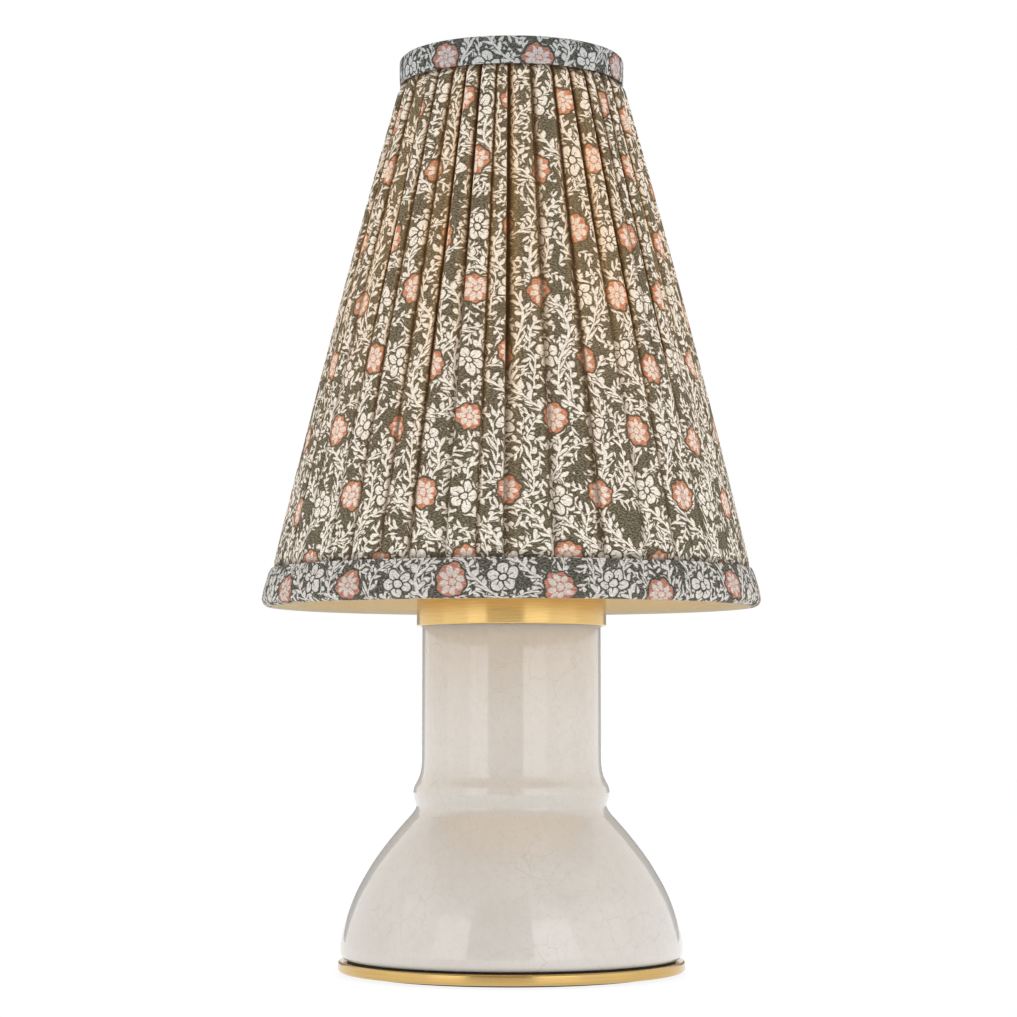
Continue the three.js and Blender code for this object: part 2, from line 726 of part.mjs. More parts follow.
// Control board with the charging port, the switch and the charge light
function controlBoard() {
  const sunk = boardTop - 0.2;
  const part = (x, y, width, length, height) => {
    return block(x - width / 2, x + width / 2, y - length / 2, y + length / 2, sunk, boardTop + height);
  };
  const board = block(-boardWidth / 2, boardWidth / 2, boardRear, boardEdge, boardBottom, boardTop);
  const holes = [-1, 1].map((side) => {
    const x = (side * boardScrewSpacing) / 2;
    return pin('z', x, boardScrewY, boardScrewRadius + seatGap, boardBottom - 1, boardTop + 1);
  });
  const sockets = [-1, 1].map((side) => {
    const x = side * batterySocketOffset;
    return part(x, boardRear + batterySocketInset, batterySocketWidth, 5, batterySocketHeight);
  });
  return join(
    cut(board, ...holes), ...sockets,
    part(0, boardRear + ledSocketInset, 6, 4, ledSocketHeight),
    part(0.4, boardRear + 12.6, 5, 5, 1),
    part(-5.6, boardRear + 11.4, 5, 5, 3),
    part(lightPipeOffset, boardEdge - 1.2, 1.6, 1.6, 2));
}

function usbPort() {
  const mouth = portSurface(usbOffset) - usbRecess;
  const back = mouth - usbDepth;
  const shell = prism(stadium(usbOffset, portAxis, usbWidth, usbHeight), 'y', back, mouth, cornerSteps);
  const cavity = stadium(usbOffset, portAxis, usbWidth - 2 * usbWall, usbHeight - 2 * usbWall);
  const floor = mouth - 0.6 * usbDepth;
  const [half, thick] = [usbTongueWidth / 2, usbTongueThickness / 2];
  const tongue = block(
    usbOffset - half, usbOffset + half, floor - 0.5, mouth - 1.2, portAxis - thick, portAxis + thick);
  return join(cut(shell, prism(cavity, 'y', floor, mouth + 1, cornerSteps)), tongue);
}

// How far back the bezel's face stands at a distance x from the lamp's middle
function portSurface(x) {
  const upper = ceramicSkin.findIndex((p) => p.y > portAxis);
  const [low, high] = [ceramicSkin[upper - 1], ceramicSkin[upper]];
  const radius = THREE.MathUtils.mapLinear(portAxis, low.y, high.y, low.x, high.x) + portLipProud;
  return Math.sqrt(radius * radius - x * x);
}

const bezelFaceBack = portSurface(portLength / 2) - portLipProud - bezelFace + 0.6;

function portBezel() {
  const inside = boardEdge + 0.4;
  const beyond = bellyRadius + 10;
  const steps = cornerSteps + 1;
  const lipOutline = stadium(0, portAxis, portLength + 2 * portLip, portWidth + 2 * portLip);
  const barrel = prism(stadium(0, portAxis, portLength, portWidth), 'y', inside, beyond, steps);
  const lip = prism(lipOutline, 'y', inside, beyond, steps);
  const outside = portSkin(portLipProud);
  const flange = cut(common(lip, outside), portSkin(seatGap));
  const pocket = stadium(0, portAxis, portLength - 2 * bezelWall, portWidth - 2 * bezelWall);
  const usbSlot = stadium(usbOffset, portAxis, usbWidth + 2 * seatGap, usbHeight + 2 * seatGap);
  return cut(
    join(common(barrel, outside), flange),
    prism(pocket, 'y', inside - 1, bezelFaceBack, steps),
    prism(usbSlot, 'y', inside, beyond, cornerSteps),
    pin('y', lightPipeOffset, portAxis, lightPipeRadius + seatGap, inside, beyond),
    pin('y', buttonOffset, portAxis, buttonRadius + seatGap, inside, beyond));
}

const buttonFlangeBack = bezelFaceBack - seatGap - 1.1;
const plungerFront = buttonFlangeBack - 1.6;
const switchFront = plungerFront - 1;

function powerButton() {
  const face = portSurface(buttonOffset) + buttonTravel;
  const edge = 0.4;
  return turned([
    [0, plungerFront], [1.4, plungerFront], [1.4, buttonFlangeBack], [buttonRadius + 0.6, buttonFlangeBack],
    [buttonRadius + 0.6, bezelFaceBack - seatGap], [buttonRadius, bezelFaceBack - seatGap],
    [buttonRadius, face - edge], [buttonRadius - edge, face], [0, face - 0.2],
  ], smallSides).rotateX(-Math.PI / 2).translate(buttonOffset, 0, portAxis);
}

function switchPlunger() {
  return pin('y', buttonOffset, portAxis, plungerRadius, plungerFront - plungerLength, plungerFront);
}

function tactSwitch() {
  const [left, right] = [buttonOffset - switchWidth / 2, buttonOffset + switchWidth / 2];
  const body = block(left, right, switchFront - switchDepth, switchFront, boardTop, portAxis + 1.7);
  const wellFloor = plungerFront - plungerLength - buttonTravel - seatGap;
  const well = pin('y', buttonOffset, portAxis, plungerRadius + seatGap, wellFloor, switchFront + 1);
  return cut(body, well);
}

function chargeLight() {
  const end = portSurface(lightPipeOffset) - 0.1;
  return pin('y', lightPipeOffset, portAxis, lightPipeRadius, boardEdge - 0.1, end);
}

// Leads, each along its real route
function batteryLead(side) {
  const link = cellLength / 2 + linkThickness / 2;
  const start = linkTop + seatGap;
  const cell = cellSpacing / 2;
  const socketX = batterySocketOffset + batterySocketWidth / 2 + seatGap;
  const socketY = boardRear + batterySocketInset;
  const socketZ = boardTop + batterySocketHeight / 2;
  const reach = link - socketX;
  const drop = start - socketZ;
  const route = [
    [link, cell, start], [link, cell, start + leadRadius],
    [link - 0.08 * reach, cell + 0.28 * cellRadius, start + 0.18 * drop],
    [link - 0.2 * reach, cell + 0.65 * cellRadius, start + 0.11 * drop],
    [link - 0.44 * reach, trayHalfWidth + 0.2 * cellRadius, start - 0.14 * drop],
    [link - 0.67 * reach, trayHalfWidth + 0.65 * cellRadius, start - 0.67 * drop],
    [link - 0.87 * reach, socketY, socketZ], [socketX, socketY, socketZ],
  ];
  return tubeAlong(route.map(([x, y, z]) => [side * x, y, z]), leadRadius, 8, 12);
}

function ledLead() {
  const start = boardTop + ledSocketHeight + seatGap;
  const socket = boardRear + ledSocketInset;
  const shoulder = ceramicFoot + shoulderHeight;
  const route = [
    [0, socket, start], [0, socket, start + leadRise], [0, boardRear, start + leadBend],
    [0, ledHoleY + 2 * leadRadius, shoulder + leadTail],
    [0, ledHoleY, ceramicFoot + neckStartHeight + leadRise], [0, ledHoleY, ceramicTop - leadStraight],
    [0, ledHoleY, collarTop], [0, ledHoleY, spigotTop + leadTail],
  ];
  return tubeAlong(route, leadRadius, 8, 18);
}

// Finishes and the assembly
const brass = { color: 0xc9a15c, roughness: 0.32, metalness: 1 };
const glaze = { color: 0xd8d0c6, roughness: 0.12, metalness: 0 };
const silicone = { color: 0x3a3735, roughness: 0.75, metalness: 0 };
const steel = { color: 0xb9bbbd, roughness: 0.35, metalness: 1 };
const aluminium = { color: 0xc7c9cb, roughness: 0.4, metalness: 1 };
const opal = { color: 0xfff3df, roughness: 0.5, metalness: 0 };
const whitePlastic = { color: 0xe9e6df, roughness: 0.55, metalness: 0 };
const blackPlastic = { color: 0x2b2a29, roughness: 0.5, metalness: 0 };
const cellWrap = { color: 0x3f6f8f, roughness: 0.4, metalness: 0 };
const boardGreen = { color: 0x2f5d3a, roughness: 0.5, metalness: 0 };
const ledBoard = { color: 0xf2efe6, roughness: 0.5, metalness: 0 };
const cloth = { color: 0x9b9282, roughness: 0.95, metalness: 0 };
const bandCloth = { color: 0x8f8b7f, roughness: 0.95, metalness: 0 };
const lining = { color: 0xdfc59a, roughness: 0.9, metalness: 0 };
const insulation = { color: 0x8c2f27, roughness: 0.6, metalness: 0 };

const lamp = new THREE.Group();

function add(name, geometry, finish) {
  const material = new THREE.MeshStandardMaterial(finish);
  const mesh = new THREE.Mesh(toCreasedNormals(outward(geometry), 0.6), material);
  mesh.name = name;
  lamp.add(mesh);
}

const footRingOuter = footRingInner + footRingWidth;
add('foot_ring', ring(footRingInner, footRingOuter, 0, footStandOff + footRingInset), silicone);
add('base_plate', basePlate(), brass);
add('foot_gasket', ring(bellyInner + seatGap, bellyRadius - 2.6, plateTop, ceramicFoot), silicone);
add('ceramic_body', ceramicBody(), glaze);
add('neck_gasket', ring(neckInner + 0.5, neckRadius - 0.8, ceramicTop, ceramicTop + neckGasket), silicone);
add('collar', collar(), brass);

const bottomSeat = bossTop - plateWeb;
const bottomNutTop = bottomSeat - washerThickness;
const rodBore = tieRodRadius + threadGap;
const tieRodBottom = bottomNutTop - nutThickness + 0.3;
add('tie_rod', ring(tieRodBore, tieRodRadius, tieRodBottom, couplerMiddle - 0.5, smallSides), steel);
add('bottom_washer', ring(rodBore, plateBossRadius - 3.6, bottomNutTop, bottomSeat, smallSides), steel);
add('bottom_nut', hexNut(nutAcrossFlats, rodBore, bottomNutTop - nutThickness, bottomNutTop), steel);
add('top_washer', ring(rodBore, couplerRadius + 0.8, flangeTop, couplerBottom, smallSides), steel);
add('rod_coupler', rodCoupler(), steel);

add('light_base', lightBase(), aluminium);
add('led_core', ledCore(), aluminium);
['rear', 'left', 'front', 'right'].forEach((side, i) => add(`led_strip_${side}`, ledStrip(i), ledBoard));
add('diffuser', ring(diffuserRadius - diffuserWall, diffuserRadius, flangeTop, diffuserTop), opal);
add('diffuser_cap', diffuserCap(), brass);
const rodThread = centreRodRadius + threadGap;
add('cap_nut', hexNut(capNutAcrossFlats, rodThread, capTop, capTop + capNutThickness), brass);
add('centre_rod', centreRod(), brass);
add('shade_seat', shadeSeat(), brass);

add('battery_tray', batteryTray(), blackPlastic);
add('battery_cell_front', batteryCell(-1), cellWrap);
add('battery_cell_rear', batteryCell(1), cellWrap);
[['left', -1], ['right', 1]].forEach(([name, side]) => {
  const trayScrewX = (side * trayScrewSpacing) / 2;
  const headTop = footStandOff + trayScrewHeadThickness + seatGap;
  const headBottom = headTop - trayScrewHeadThickness;
  const boardScrewX = (side * boardScrewSpacing) / 2;
  const boardScrewTop = boardTop + boardScrewHeadThickness;
  add(`cell_link_${name}`, cellLink(side), steel);
  add(`battery_lead_${name}`, batteryLead(side), insulation);
  add(`tray_screw_${name}`, screw(
    trayScrewX, 0, trayScrewRadius, trayScrewHeadRadius, trayScrewEnd, headBottom, headTop, true),
  steel);
  add(`board_screw_${name}`, screw(
    boardScrewX, boardScrewY, boardScrewRadius, boardScrewHeadRadius,
    shelfTop, boardTop, boardScrewTop, false),
  steel);
});
add('control_board', controlBoard(), boardGreen);
add('usb_port', usbPort(), steel);
add('tact_switch', tactSwitch(), blackPlastic);
add('charge_light', chargeLight(), opal);
add('port_bezel', portBezel(), blackPlastic);
add('led_lead', ledLead(), insulation);
add('power_button', powerButton(), brass);
add('switch_plunger', switchPlunger(), whitePlastic);

const rodSleeve = centreRodRadius + seatGap;
add('seat_washer', ring(rodSleeve, shadeSeatRadius - 0.5, seatTop, hubBottom, smallSides), silicone);
add('shade_spider', shadeSpider(), whitePlastic);
add('bottom_ring', ringWire(bottomRing, bottomWireRadius), whitePlastic);
add('shade_lining', liningShell(), lining);
add('pleated_cloth', gatheredCloth(), cloth);
add('top_binding', topBinding(), bandCloth);
add('bottom_binding', bottomBinding(), bandCloth);
add('finial_washer', ring(rodSleeve, finialFlangeRadius + 1, hubTop, finialBottom, smallSides), brass);
add('finial', finial(), brass);

export default lamp;
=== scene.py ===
import json
import math
import random

import bmesh
import bpy
import numpy as np
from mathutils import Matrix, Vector


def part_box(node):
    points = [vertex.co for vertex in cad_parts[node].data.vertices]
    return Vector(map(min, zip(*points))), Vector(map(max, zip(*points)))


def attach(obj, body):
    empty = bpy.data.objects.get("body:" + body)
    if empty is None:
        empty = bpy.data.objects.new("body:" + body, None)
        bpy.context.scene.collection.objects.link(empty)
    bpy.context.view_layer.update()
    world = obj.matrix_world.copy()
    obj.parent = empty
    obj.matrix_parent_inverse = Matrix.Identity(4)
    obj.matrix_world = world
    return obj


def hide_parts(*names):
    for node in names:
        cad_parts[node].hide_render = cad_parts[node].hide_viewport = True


# Cordless table lamp: fine turned brass and ceramic, and a gathered printed shade, built round the CAD frame.
# Lengths in the builders below are in millimetres and turn into metres as the meshes are made.
mm = 0.001
fullTurn = 2 * math.pi

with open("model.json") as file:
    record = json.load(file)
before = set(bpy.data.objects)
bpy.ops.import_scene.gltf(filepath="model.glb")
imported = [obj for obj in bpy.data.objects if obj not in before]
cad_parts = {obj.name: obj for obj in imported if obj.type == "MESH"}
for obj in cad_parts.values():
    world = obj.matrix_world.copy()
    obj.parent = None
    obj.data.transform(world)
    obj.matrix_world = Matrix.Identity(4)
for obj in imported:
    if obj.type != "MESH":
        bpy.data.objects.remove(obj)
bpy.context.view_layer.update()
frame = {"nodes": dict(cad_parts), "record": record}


# Lowest and highest point and outer radius of a solid of the frame
def spanOf(node):
    low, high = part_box(node)
    return [round(value / mm, 3) for value in (low.z, high.z, max(high.x, high.y))]


print("stage 1: camera, floor and lights")
view = {"lens": 102.57, "sensor": 36, "place": (-0.00098, -0.9472, 0.0846), "tilt": 0.07}
scene = bpy.context.scene
cameraData = bpy.data.cameras.new("camera")
cameraData.lens = view["lens"]
cameraData.sensor_width = view["sensor"]
camera = bpy.data.objects.new("camera", cameraData)
camera.location = view["place"]
camera.rotation_euler = (math.pi / 2 + view["tilt"], 0, 0)
scene.collection.objects.link(camera)
scene.camera = camera
scene.view_settings.view_transform = "Standard"
scene.view_settings.look = "None"
scene.cycles.use_denoising = True
scene.cycles.max_bounces = 8
scene.cycles.diffuse_bounces = 3
scene.cycles.caustics_reflective = False
scene.cycles.caustics_refractive = False


def put(tree, value, socket):
    if isinstance(value, bpy.types.NodeSocket):
        tree.links.new(value, socket)
    else:
        socket.default_value = value


# Values go into the node's inputs in order, and None leaves an input as it is
def addNode(tree, kind, *values, **settings):
    node = tree.nodes.new("ShaderNode" + kind)
    for name, value in settings.items():
        setattr(node, name, value)
    for value, socket in zip(values, node.inputs):
        if value is not None:
            put(tree, value, socket)
    return node


def calc(tree, operation, *values, clamp=False):
    return addNode(tree, "Math", *values, operation=operation, use_clamp=clamp).outputs[0]


# 1 where value is under edge and 0 over it, with a soft step between
def below(tree, value, edge, soft):
    return calc(tree, "MULTIPLY_ADD", value, -1 / soft, edge / soft + 0.5, clamp=True)


def mixColour(tree, share, first, second, blend="MIX"):
    node = tree.nodes.new("ShaderNodeMix")
    node.data_type = "RGBA"
    node.blend_type = blend
    put(tree, share, node.inputs[0])
    put(tree, first, node.inputs[6])
    put(tree, second, node.inputs[7])
    return node.outputs[2]


def tinted(tree, colour, tone):
    return mixColour(tree, 1.0, colour, tone, "MULTIPLY")


def shape(tree, vector, operation, *values):
    return addNode(tree, "VectorMath", vector, *values, operation=operation)


def noiseOf(tree, vector, scale, detail=2.0, roughness=0.5):
    node = tree.nodes.new("ShaderNodeTexNoise")
    put(tree, vector, node.inputs["Vector"])
    put(tree, scale, node.inputs["Scale"])
    put(tree, detail, node.inputs["Detail"])
    put(tree, roughness, node.inputs["Roughness"])
    return node


def remap(tree, value, low, high, toLow, toHigh):
    return addNode(tree, "MapRange", value, low, high, toLow, toHigh).outputs[0]


def stretched(tree, vector, x, y, z):
    return shape(tree, vector, "MULTIPLY", (x, y, z)).outputs[0]


def bumped(tree, height, strength, distance):
    node = tree.nodes.new("ShaderNodeBump")
    put(tree, strength, node.inputs["Strength"])
    put(tree, distance, node.inputs["Distance"])
    put(tree, height, node.inputs["Height"])
    return node.outputs[0]


def newMaterial(name):
    material = bpy.data.materials.new(name)
    material.use_nodes = True
    tree = material.node_tree
    shader = tree.nodes["Principled BSDF"]
    return material, tree, shader


shaderInputs = {
    "base": "Base Color", "rough": "Roughness", "metal": "Metallic", "normal": "Normal",
    "coat": "Coat Weight", "coatRough": "Coat Roughness", "specular": "Specular IOR Level",
    "sheen": "Sheen Weight", "sheenRough": "Sheen Roughness",
    "brushed": "Anisotropic", "brushTurn": "Anisotropic Rotation",
    "glow": "Emission Color", "power": "Emission Strength",
}


def feed(tree, shader, **values):
    for name, value in values.items():
        put(tree, value, shader.inputs[shaderInputs[name]])


def objectPlace(tree):
    return tree.nodes.new("ShaderNodeTexCoord").outputs["Object"]


# An empty node group with its sockets, each given as label: kind
def newGroup(name, inputs, outputs):
    group = bpy.data.node_groups.new(name, "ShaderNodeTree")
    for direction, sockets in (("INPUT", inputs), ("OUTPUT", outputs)):
        for label, kind in sockets.items():
            group.interface.new_socket(label, in_out=direction, socket_type="NodeSocket" + kind)
    return group, group.nodes.new("NodeGroupInput").outputs, group.nodes.new("NodeGroupOutput").inputs


def placeGroup(tree, group, **values):
    node = tree.nodes.new("ShaderNodeGroup")
    node.node_tree = group
    for label, value in values.items():
        put(tree, value, node.inputs[label])
    return node.outputs


# The tone, made a little lighter or darker
def shaded(tone, factor):
    return tuple(min(1, channel * factor) for channel in tone) + (1,)


backdrop = {"reach": 6, "darker": 0.13, "lighter": 0.15, "power": 0.9, "worldPower": 1.0}
floorMaterial, tree, shader = newMaterial("floorPaint")
floorGrain = noiseOf(tree, objectPlace(tree), 3, 2)
floorTone = mixColour(tree, floorGrain.outputs[0], (backdrop["darker"],) * 3 + (1,),
                      (backdrop["lighter"],) * 3 + (1,))
feed(tree, shader, base=floorTone, rough=0.9, specular=0.1, glow=(1, 1, 1, 1), power=backdrop["power"])

bm = bmesh.new()
bmesh.ops.create_grid(bm, x_segments=1, y_segments=1, size=backdrop["reach"])
floorMesh = bpy.data.meshes.new("floor")
bm.to_mesh(floorMesh)
bm.free()
floorMesh.materials.append(floorMaterial)
floor = bpy.data.objects.new("floor", floorMesh)
scene.collection.objects.link(floor)

world = bpy.data.worlds.new("studio")
scene.world = world
world.use_nodes = True
worldTree = world.node_tree
worldTree.nodes["Background"].inputs["Color"].default_value = (1, 1, 1, 1)
worldTree.nodes["Background"].inputs["Strength"].default_value = backdrop["worldPower"]


def softbox(name, place, target, size, power, tint=(1, 1, 1), seen=True):
    data = bpy.data.lights.new(name, "AREA")
    data.shape = "RECTANGLE"
    data.size, data.size_y = size
    data.energy = power
    data.color = tint
    box = bpy.data.objects.new(name, data)
    box.location = place
    box.rotation_euler = (Vector(target) - Vector(place)).to_track_quat("-Z", "Y").to_euler()
    box.visible_camera = seen
    scene.collection.objects.link(box)


# name: place, size and power, in metres and watts
softboxes = {
    "softboxLeft": ((-1.27, -1.41, 0.65), (0.81, 1.3), 2.9),
    "softboxRight": ((0.95, -1.645, 0.65), (1.02, 1.3), 3.75),
    "flankLeft": ((-1.807, -0.587, 0.65), (1.23, 1.3), 1.5),
    "flankRight": ((1.722, -0.803, 0.65), (1.38, 1.3), 1.7),
}
for name, (place, size, power) in softboxes.items():
    softbox(name, place, (0, 0, 0.65), size, power)

# The light that the opal column gives: four narrow panels just off it, facing outwards
columnLight = {"radius": 0.0246, "height": 0.172, "size": (0.034, 0.08), "power": 0.027,
               "tint": (1.0, 0.78, 0.53)}
for quarter, (aside, ahead) in enumerate([(1, 0), (0, 1), (-1, 0), (0, -1)]):
    place = (aside * columnLight["radius"], ahead * columnLight["radius"], columnLight["height"])
    softbox(f"columnLight{quarter + 1}", place, (aside, ahead, columnLight["height"]), columnLight["size"],
            columnLight["power"], columnLight["tint"], seen=False)


# A matt card that the glossy surfaces mirror as a darker patch
def studioCard(name, place, target, width, height, tone):
    cardMaterial, tree, shader = newMaterial(name)
    cardGrain = noiseOf(tree, objectPlace(tree), 4, 2)
    cardTone = mixColour(tree, cardGrain.outputs[0], (tone * 0.95,) * 3 + (1,), (tone * 1.05,) * 3 + (1,))
    feed(tree, shader, base=(0.05, 0.05, 0.05, 1), rough=0.9, glow=cardTone, power=1.0)
    bm = bmesh.new()
    bmesh.ops.create_grid(bm, x_segments=1, y_segments=1, size=0.5)
    turn = (Vector(target) - Vector(place)).to_track_quat("-Z", "Y").to_matrix()
    for vert in bm.verts:
        vert.co = turn @ Vector((vert.co.x * width, vert.co.y * height, 0)) + Vector(place)
    mesh = bpy.data.meshes.new(name)
    bm.to_mesh(mesh)
    bm.free()
    mesh.materials.append(cardMaterial)
    card = bpy.data.objects.new(name, mesh)
    card.visible_camera = False
    scene.collection.objects.link(card)


# name: place, what it faces, width, height and tone
studioCards = {
    "frontCard": ((-0.29, -1.9, 1.2), (-0.29, 0, 1.2), 1.58, 2.4, 0.28),
    "ceilingCard": ((0, 0, 2.2), (0, 0.001, 0), 4.0, 4.0, 0.55),
    "backCardLeft": ((-0.944, 2.594, 1.2), (0, 0, 1.2), 1.1, 2.4, 0.27),
    "backCardRight": ((0.944, 2.594, 1.2), (0, 0, 1.2), 1.1, 2.4, 0.27),
}
for name, settings in studioCards.items():
    studioCard(name, *settings)

print("stage 2: mesh builders")


# A spun profile of [radius, height] points, closed on itself or ended on the axis
def turnedMesh(name, profile, sides, sharpAngle=32):
    bm = bmesh.new()
    verts = [bm.verts.new((radius * mm, 0, height * mm)) for radius, height in profile]
    pairs = list(zip(verts, verts[1:]))
    if profile[0][0] > 0:
        pairs.append((verts[-1], verts[0]))
    edges = [bm.edges.new(pair) for pair in pairs]
    bmesh.ops.spin(bm, geom=verts + edges, cent=(0, 0, 0), axis=(0, 0, 1), angle=fullTurn, steps=sides,
                   use_merge=True)
    bmesh.ops.remove_doubles(bm, verts=bm.verts, dist=2e-6)
    bmesh.ops.recalc_face_normals(bm, faces=bm.faces)
    for face in bm.faces:
        face.smooth = True
    mesh = bpy.data.meshes.new(name)
    bm.to_mesh(mesh)
    bm.free()
    mesh.set_sharp_from_angle(angle=math.radians(sharpAngle))
    return mesh


def addPiece(name, mesh, body, slotName, material, *nodes):
    piece = bpy.data.objects.new(name, mesh)
    scene.collection.objects.link(piece)
    piece.data.materials.clear()
    piece.data.materials.append(material)
    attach(piece, body)
    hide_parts(*nodes)
    return piece


# The same outline with each inner corner turned into a small arc
def rounded(points, radius, steps):
    result = [points[0]]
    for before, corner, after in zip(points, points[1:], points[2:]):
        a, b, c = Vector(before), Vector(corner), Vector(after)
        toA, toC = a - b, c - b
        reach = min(radius, toA.length * 0.45, toC.length * 0.45)
        start, end = b + toA.normalized() * reach, b + toC.normalized() * reach
        for step in range(steps + 1):
            t = step / steps
            result.append(tuple(start * (1 - t) ** 2 + b * 2 * t * (1 - t) + end * t ** 2))
    result.append(points[-1])
    return result


# A smooth curve through the points, with perStretch pieces between each two
def smoothLine(points, perStretch):
    ends = [2 * Vector(points[0]) - Vector(points[1])] + [Vector(p) for p in points]
    ends.append(2 * Vector(points[-1]) - Vector(points[-2]))
    line = []
    for a, b, c, d in zip(ends, ends[1:], ends[2:], ends[3:]):
        for step in range(perStretch):
            t = step / perStretch
            line.append(tuple(0.5 * ((2 * b) + (c - a) * t + (2 * a - 5 * b + 4 * c - d) * t ** 2
                                     + (3 * b - a - 3 * c + d) * t ** 3)))
    line.append(tuple(points[-1]))
    return line


print("stage 3: materials")
brass = {
    "tone": (0.775, 0.53, 0.21),
    "plateShadedTone": (0.64, 0.425, 0.155),  # painted shade: a darker copy of the same brass for the foot plate, for how the light falls on it
    "rough": 0.22,
    "brushed": 0.75,
    "brushTurn": 0.25,  # a quarter turn: the lines run round the lamp
    "streaks": 2600,  # how closely the brush lines lie, up the lamp
    "streakDepth": 0.22,
}


# Fine lines round the lamp's axis, as a lathe and a brushing pad leave them
def brushMarks():
    group, given, result = newGroup(
        "brushMarks",
        {"Place": "Vector", "Dark": "Color", "Light": "Color", "Cloud": "Color", "Rough": "Float"},
        {"Colour": "Color", "Rough": "Float", "Streaks": "Float"})
    parts = addNode(group, "SeparateXYZ", given["Place"])
    turn = calc(group, "ARCTAN2", parts.outputs[1], parts.outputs[0])
    streakPlace = addNode(group, "CombineXYZ", calc(group, "MULTIPLY", turn, 2.2),
                          calc(group, "MULTIPLY", parts.outputs[2], brass["streaks"]), 0.0).outputs[0]
    streaks = noiseOf(group, streakPlace, 1.0, 3, 0.6).outputs[0]
    clouds = noiseOf(group, given["Place"], 55, 3).outputs[0]
    base = mixColour(group, remap(group, streaks, 0.3, 0.7, 0, 1), given["Dark"], given["Light"])
    base = mixColour(group, remap(group, clouds, 0.4, 0.75, 0, 0.25), base, given["Cloud"])
    put(group, base, result["Colour"])
    put(group, calc(group, "MULTIPLY_ADD", streaks, 0.14, given["Rough"]), result["Rough"])
    put(group, streaks, result["Streaks"])
    return group


brushGroup = brushMarks()


def brassMaterial(name, tone):
    material, tree, shader = newMaterial(name)
    marks = placeGroup(tree, brushGroup, Place=objectPlace(tree), Dark=shaded(tone, 0.9),
                       Light=shaded(tone, 1.08), Cloud=shaded(tone, 0.85), Rough=brass["rough"] - 0.06)
    feed(tree, shader, base=marks["Colour"], metal=1.0, rough=marks["Rough"], coat=0.08, coatRough=0.25,
         brushed=brass["brushed"], brushTurn=brass["brushTurn"],
         normal=bumped(tree, marks["Streaks"], brass["streakDepth"], 0.00003))
    return material


# Mottled tone, fine surface grain and uneven gloss
def surfaceGrain():
    group, given, result = newGroup(
        "surfaceGrain",
        {"Place": "Vector", "Dark": "Color", "Light": "Color", "Grain": "Float", "Rough": "Float"},
        {"Colour": "Color", "Rough": "Float", "Grain": "Float", "Mottle": "Float"})
    cloud = noiseOf(group, given["Place"], 60, 3).outputs[0]
    fine = noiseOf(group, given["Place"], given["Grain"], 2, 0.6).outputs[0]
    mottle = remap(group, cloud, 0.3, 0.7, 0, 1)
    base = mixColour(group, mottle, given["Dark"], given["Light"])
    base = mixColour(group, calc(group, "MULTIPLY", fine, 0.25), base, given["Dark"])
    put(group, base, result["Colour"])
    put(group, calc(group, "MULTIPLY_ADD", fine, 0.12, given["Rough"]), result["Rough"])
    put(group, fine, result["Grain"])
    put(group, mottle, result["Mottle"])
    return group


grainGroup = surfaceGrain()


# A moulded, cast or coated surface
def plainMaterial(name, tone, rough, grain=900, bump=0.15, metal=0.0, coat=0.0, glow=None, power=0.0):
    material, tree, shader = newMaterial(name)
    surface = placeGroup(tree, grainGroup, Place=objectPlace(tree), Dark=shaded(tone, 0.88),
                         Light=shaded(tone, 1.12), Grain=grain, Rough=rough - 0.06)
    feed(tree, shader, base=surface["Colour"], metal=metal, coat=coat, rough=surface["Rough"],
         normal=bumped(tree, surface["Grain"], bump, 0.00005))
    if glow:
        shine = mixColour(tree, surface["Mottle"], shaded(glow, 0.94), shaded(glow, 1))
        feed(tree, shader, glow=shine, power=power)
    return material


glaze = {
    "thin": (0.652, 0.608, 0.556, 1),
    "pooled": (0.706, 0.667, 0.62, 1),
    "grainTone": (0.59, 0.535, 0.475, 1),
    "speckTone": (0.47, 0.39, 0.30, 1),
    "crackTone": (0.40, 0.34, 0.26, 1),
    "crackShare": 0.22,
    "crackle": 120,  # crackle cells to the metre
    "rough": 0.07,
    "relief": 0.1,
}


def glazeMaterial():
    material, tree, shader = newMaterial("glaze")
    place = objectPlace(tree)
    pools = noiseOf(tree, place, 26, 3, 0.55).outputs[0]
    grain = noiseOf(tree, place, 420, 3, 0.6).outputs[0]
    specks = noiseOf(tree, place, 1500, 1, 0.5).outputs[0]
    base = mixColour(tree, remap(tree, pools, 0.35, 0.7, 0, 1), glaze["thin"], glaze["pooled"])
    base = mixColour(tree, remap(tree, grain, 0.45, 0.75, 0, 0.35), base, glaze["grainTone"])
    base = mixColour(tree, remap(tree, specks, 0.66, 0.74, 0, 0.35), base, glaze["speckTone"])
    cells = tree.nodes.new("ShaderNodeTexVoronoi")
    cells.feature = "DISTANCE_TO_EDGE"
    wander = shape(tree, noiseOf(tree, place, 150, 2).outputs[1], "SCALE")
    wander.inputs["Scale"].default_value = 0.004
    put(tree, shape(tree, place, "ADD", wander.outputs[0]).outputs[0], cells.inputs["Vector"])
    cells.inputs["Scale"].default_value = glaze["crackle"]
    crack = below(tree, cells.outputs[0], 0.010, 0.014)
    patches = remap(tree, noiseOf(tree, place, 34, 1).outputs[0], 0.46, 0.6, 0, 1)
    crack = calc(tree, "MULTIPLY", crack, patches)
    base = mixColour(tree, calc(tree, "MULTIPLY", crack, glaze["crackShare"]), base, glaze["crackTone"])
    relief = calc(tree, "ADD", calc(tree, "MULTIPLY", pools, 3.0), calc(tree, "MULTIPLY", grain, 0.35))
    feed(tree, shader, base=base, coat=0.5, coatRough=0.02,
         rough=calc(tree, "ADD", glaze["rough"], calc(tree, "MULTIPLY", grain, 0.07)),
         normal=bumped(tree, calc(tree, "SUBTRACT", relief, crack), glaze["relief"], 0.0002))
    return material


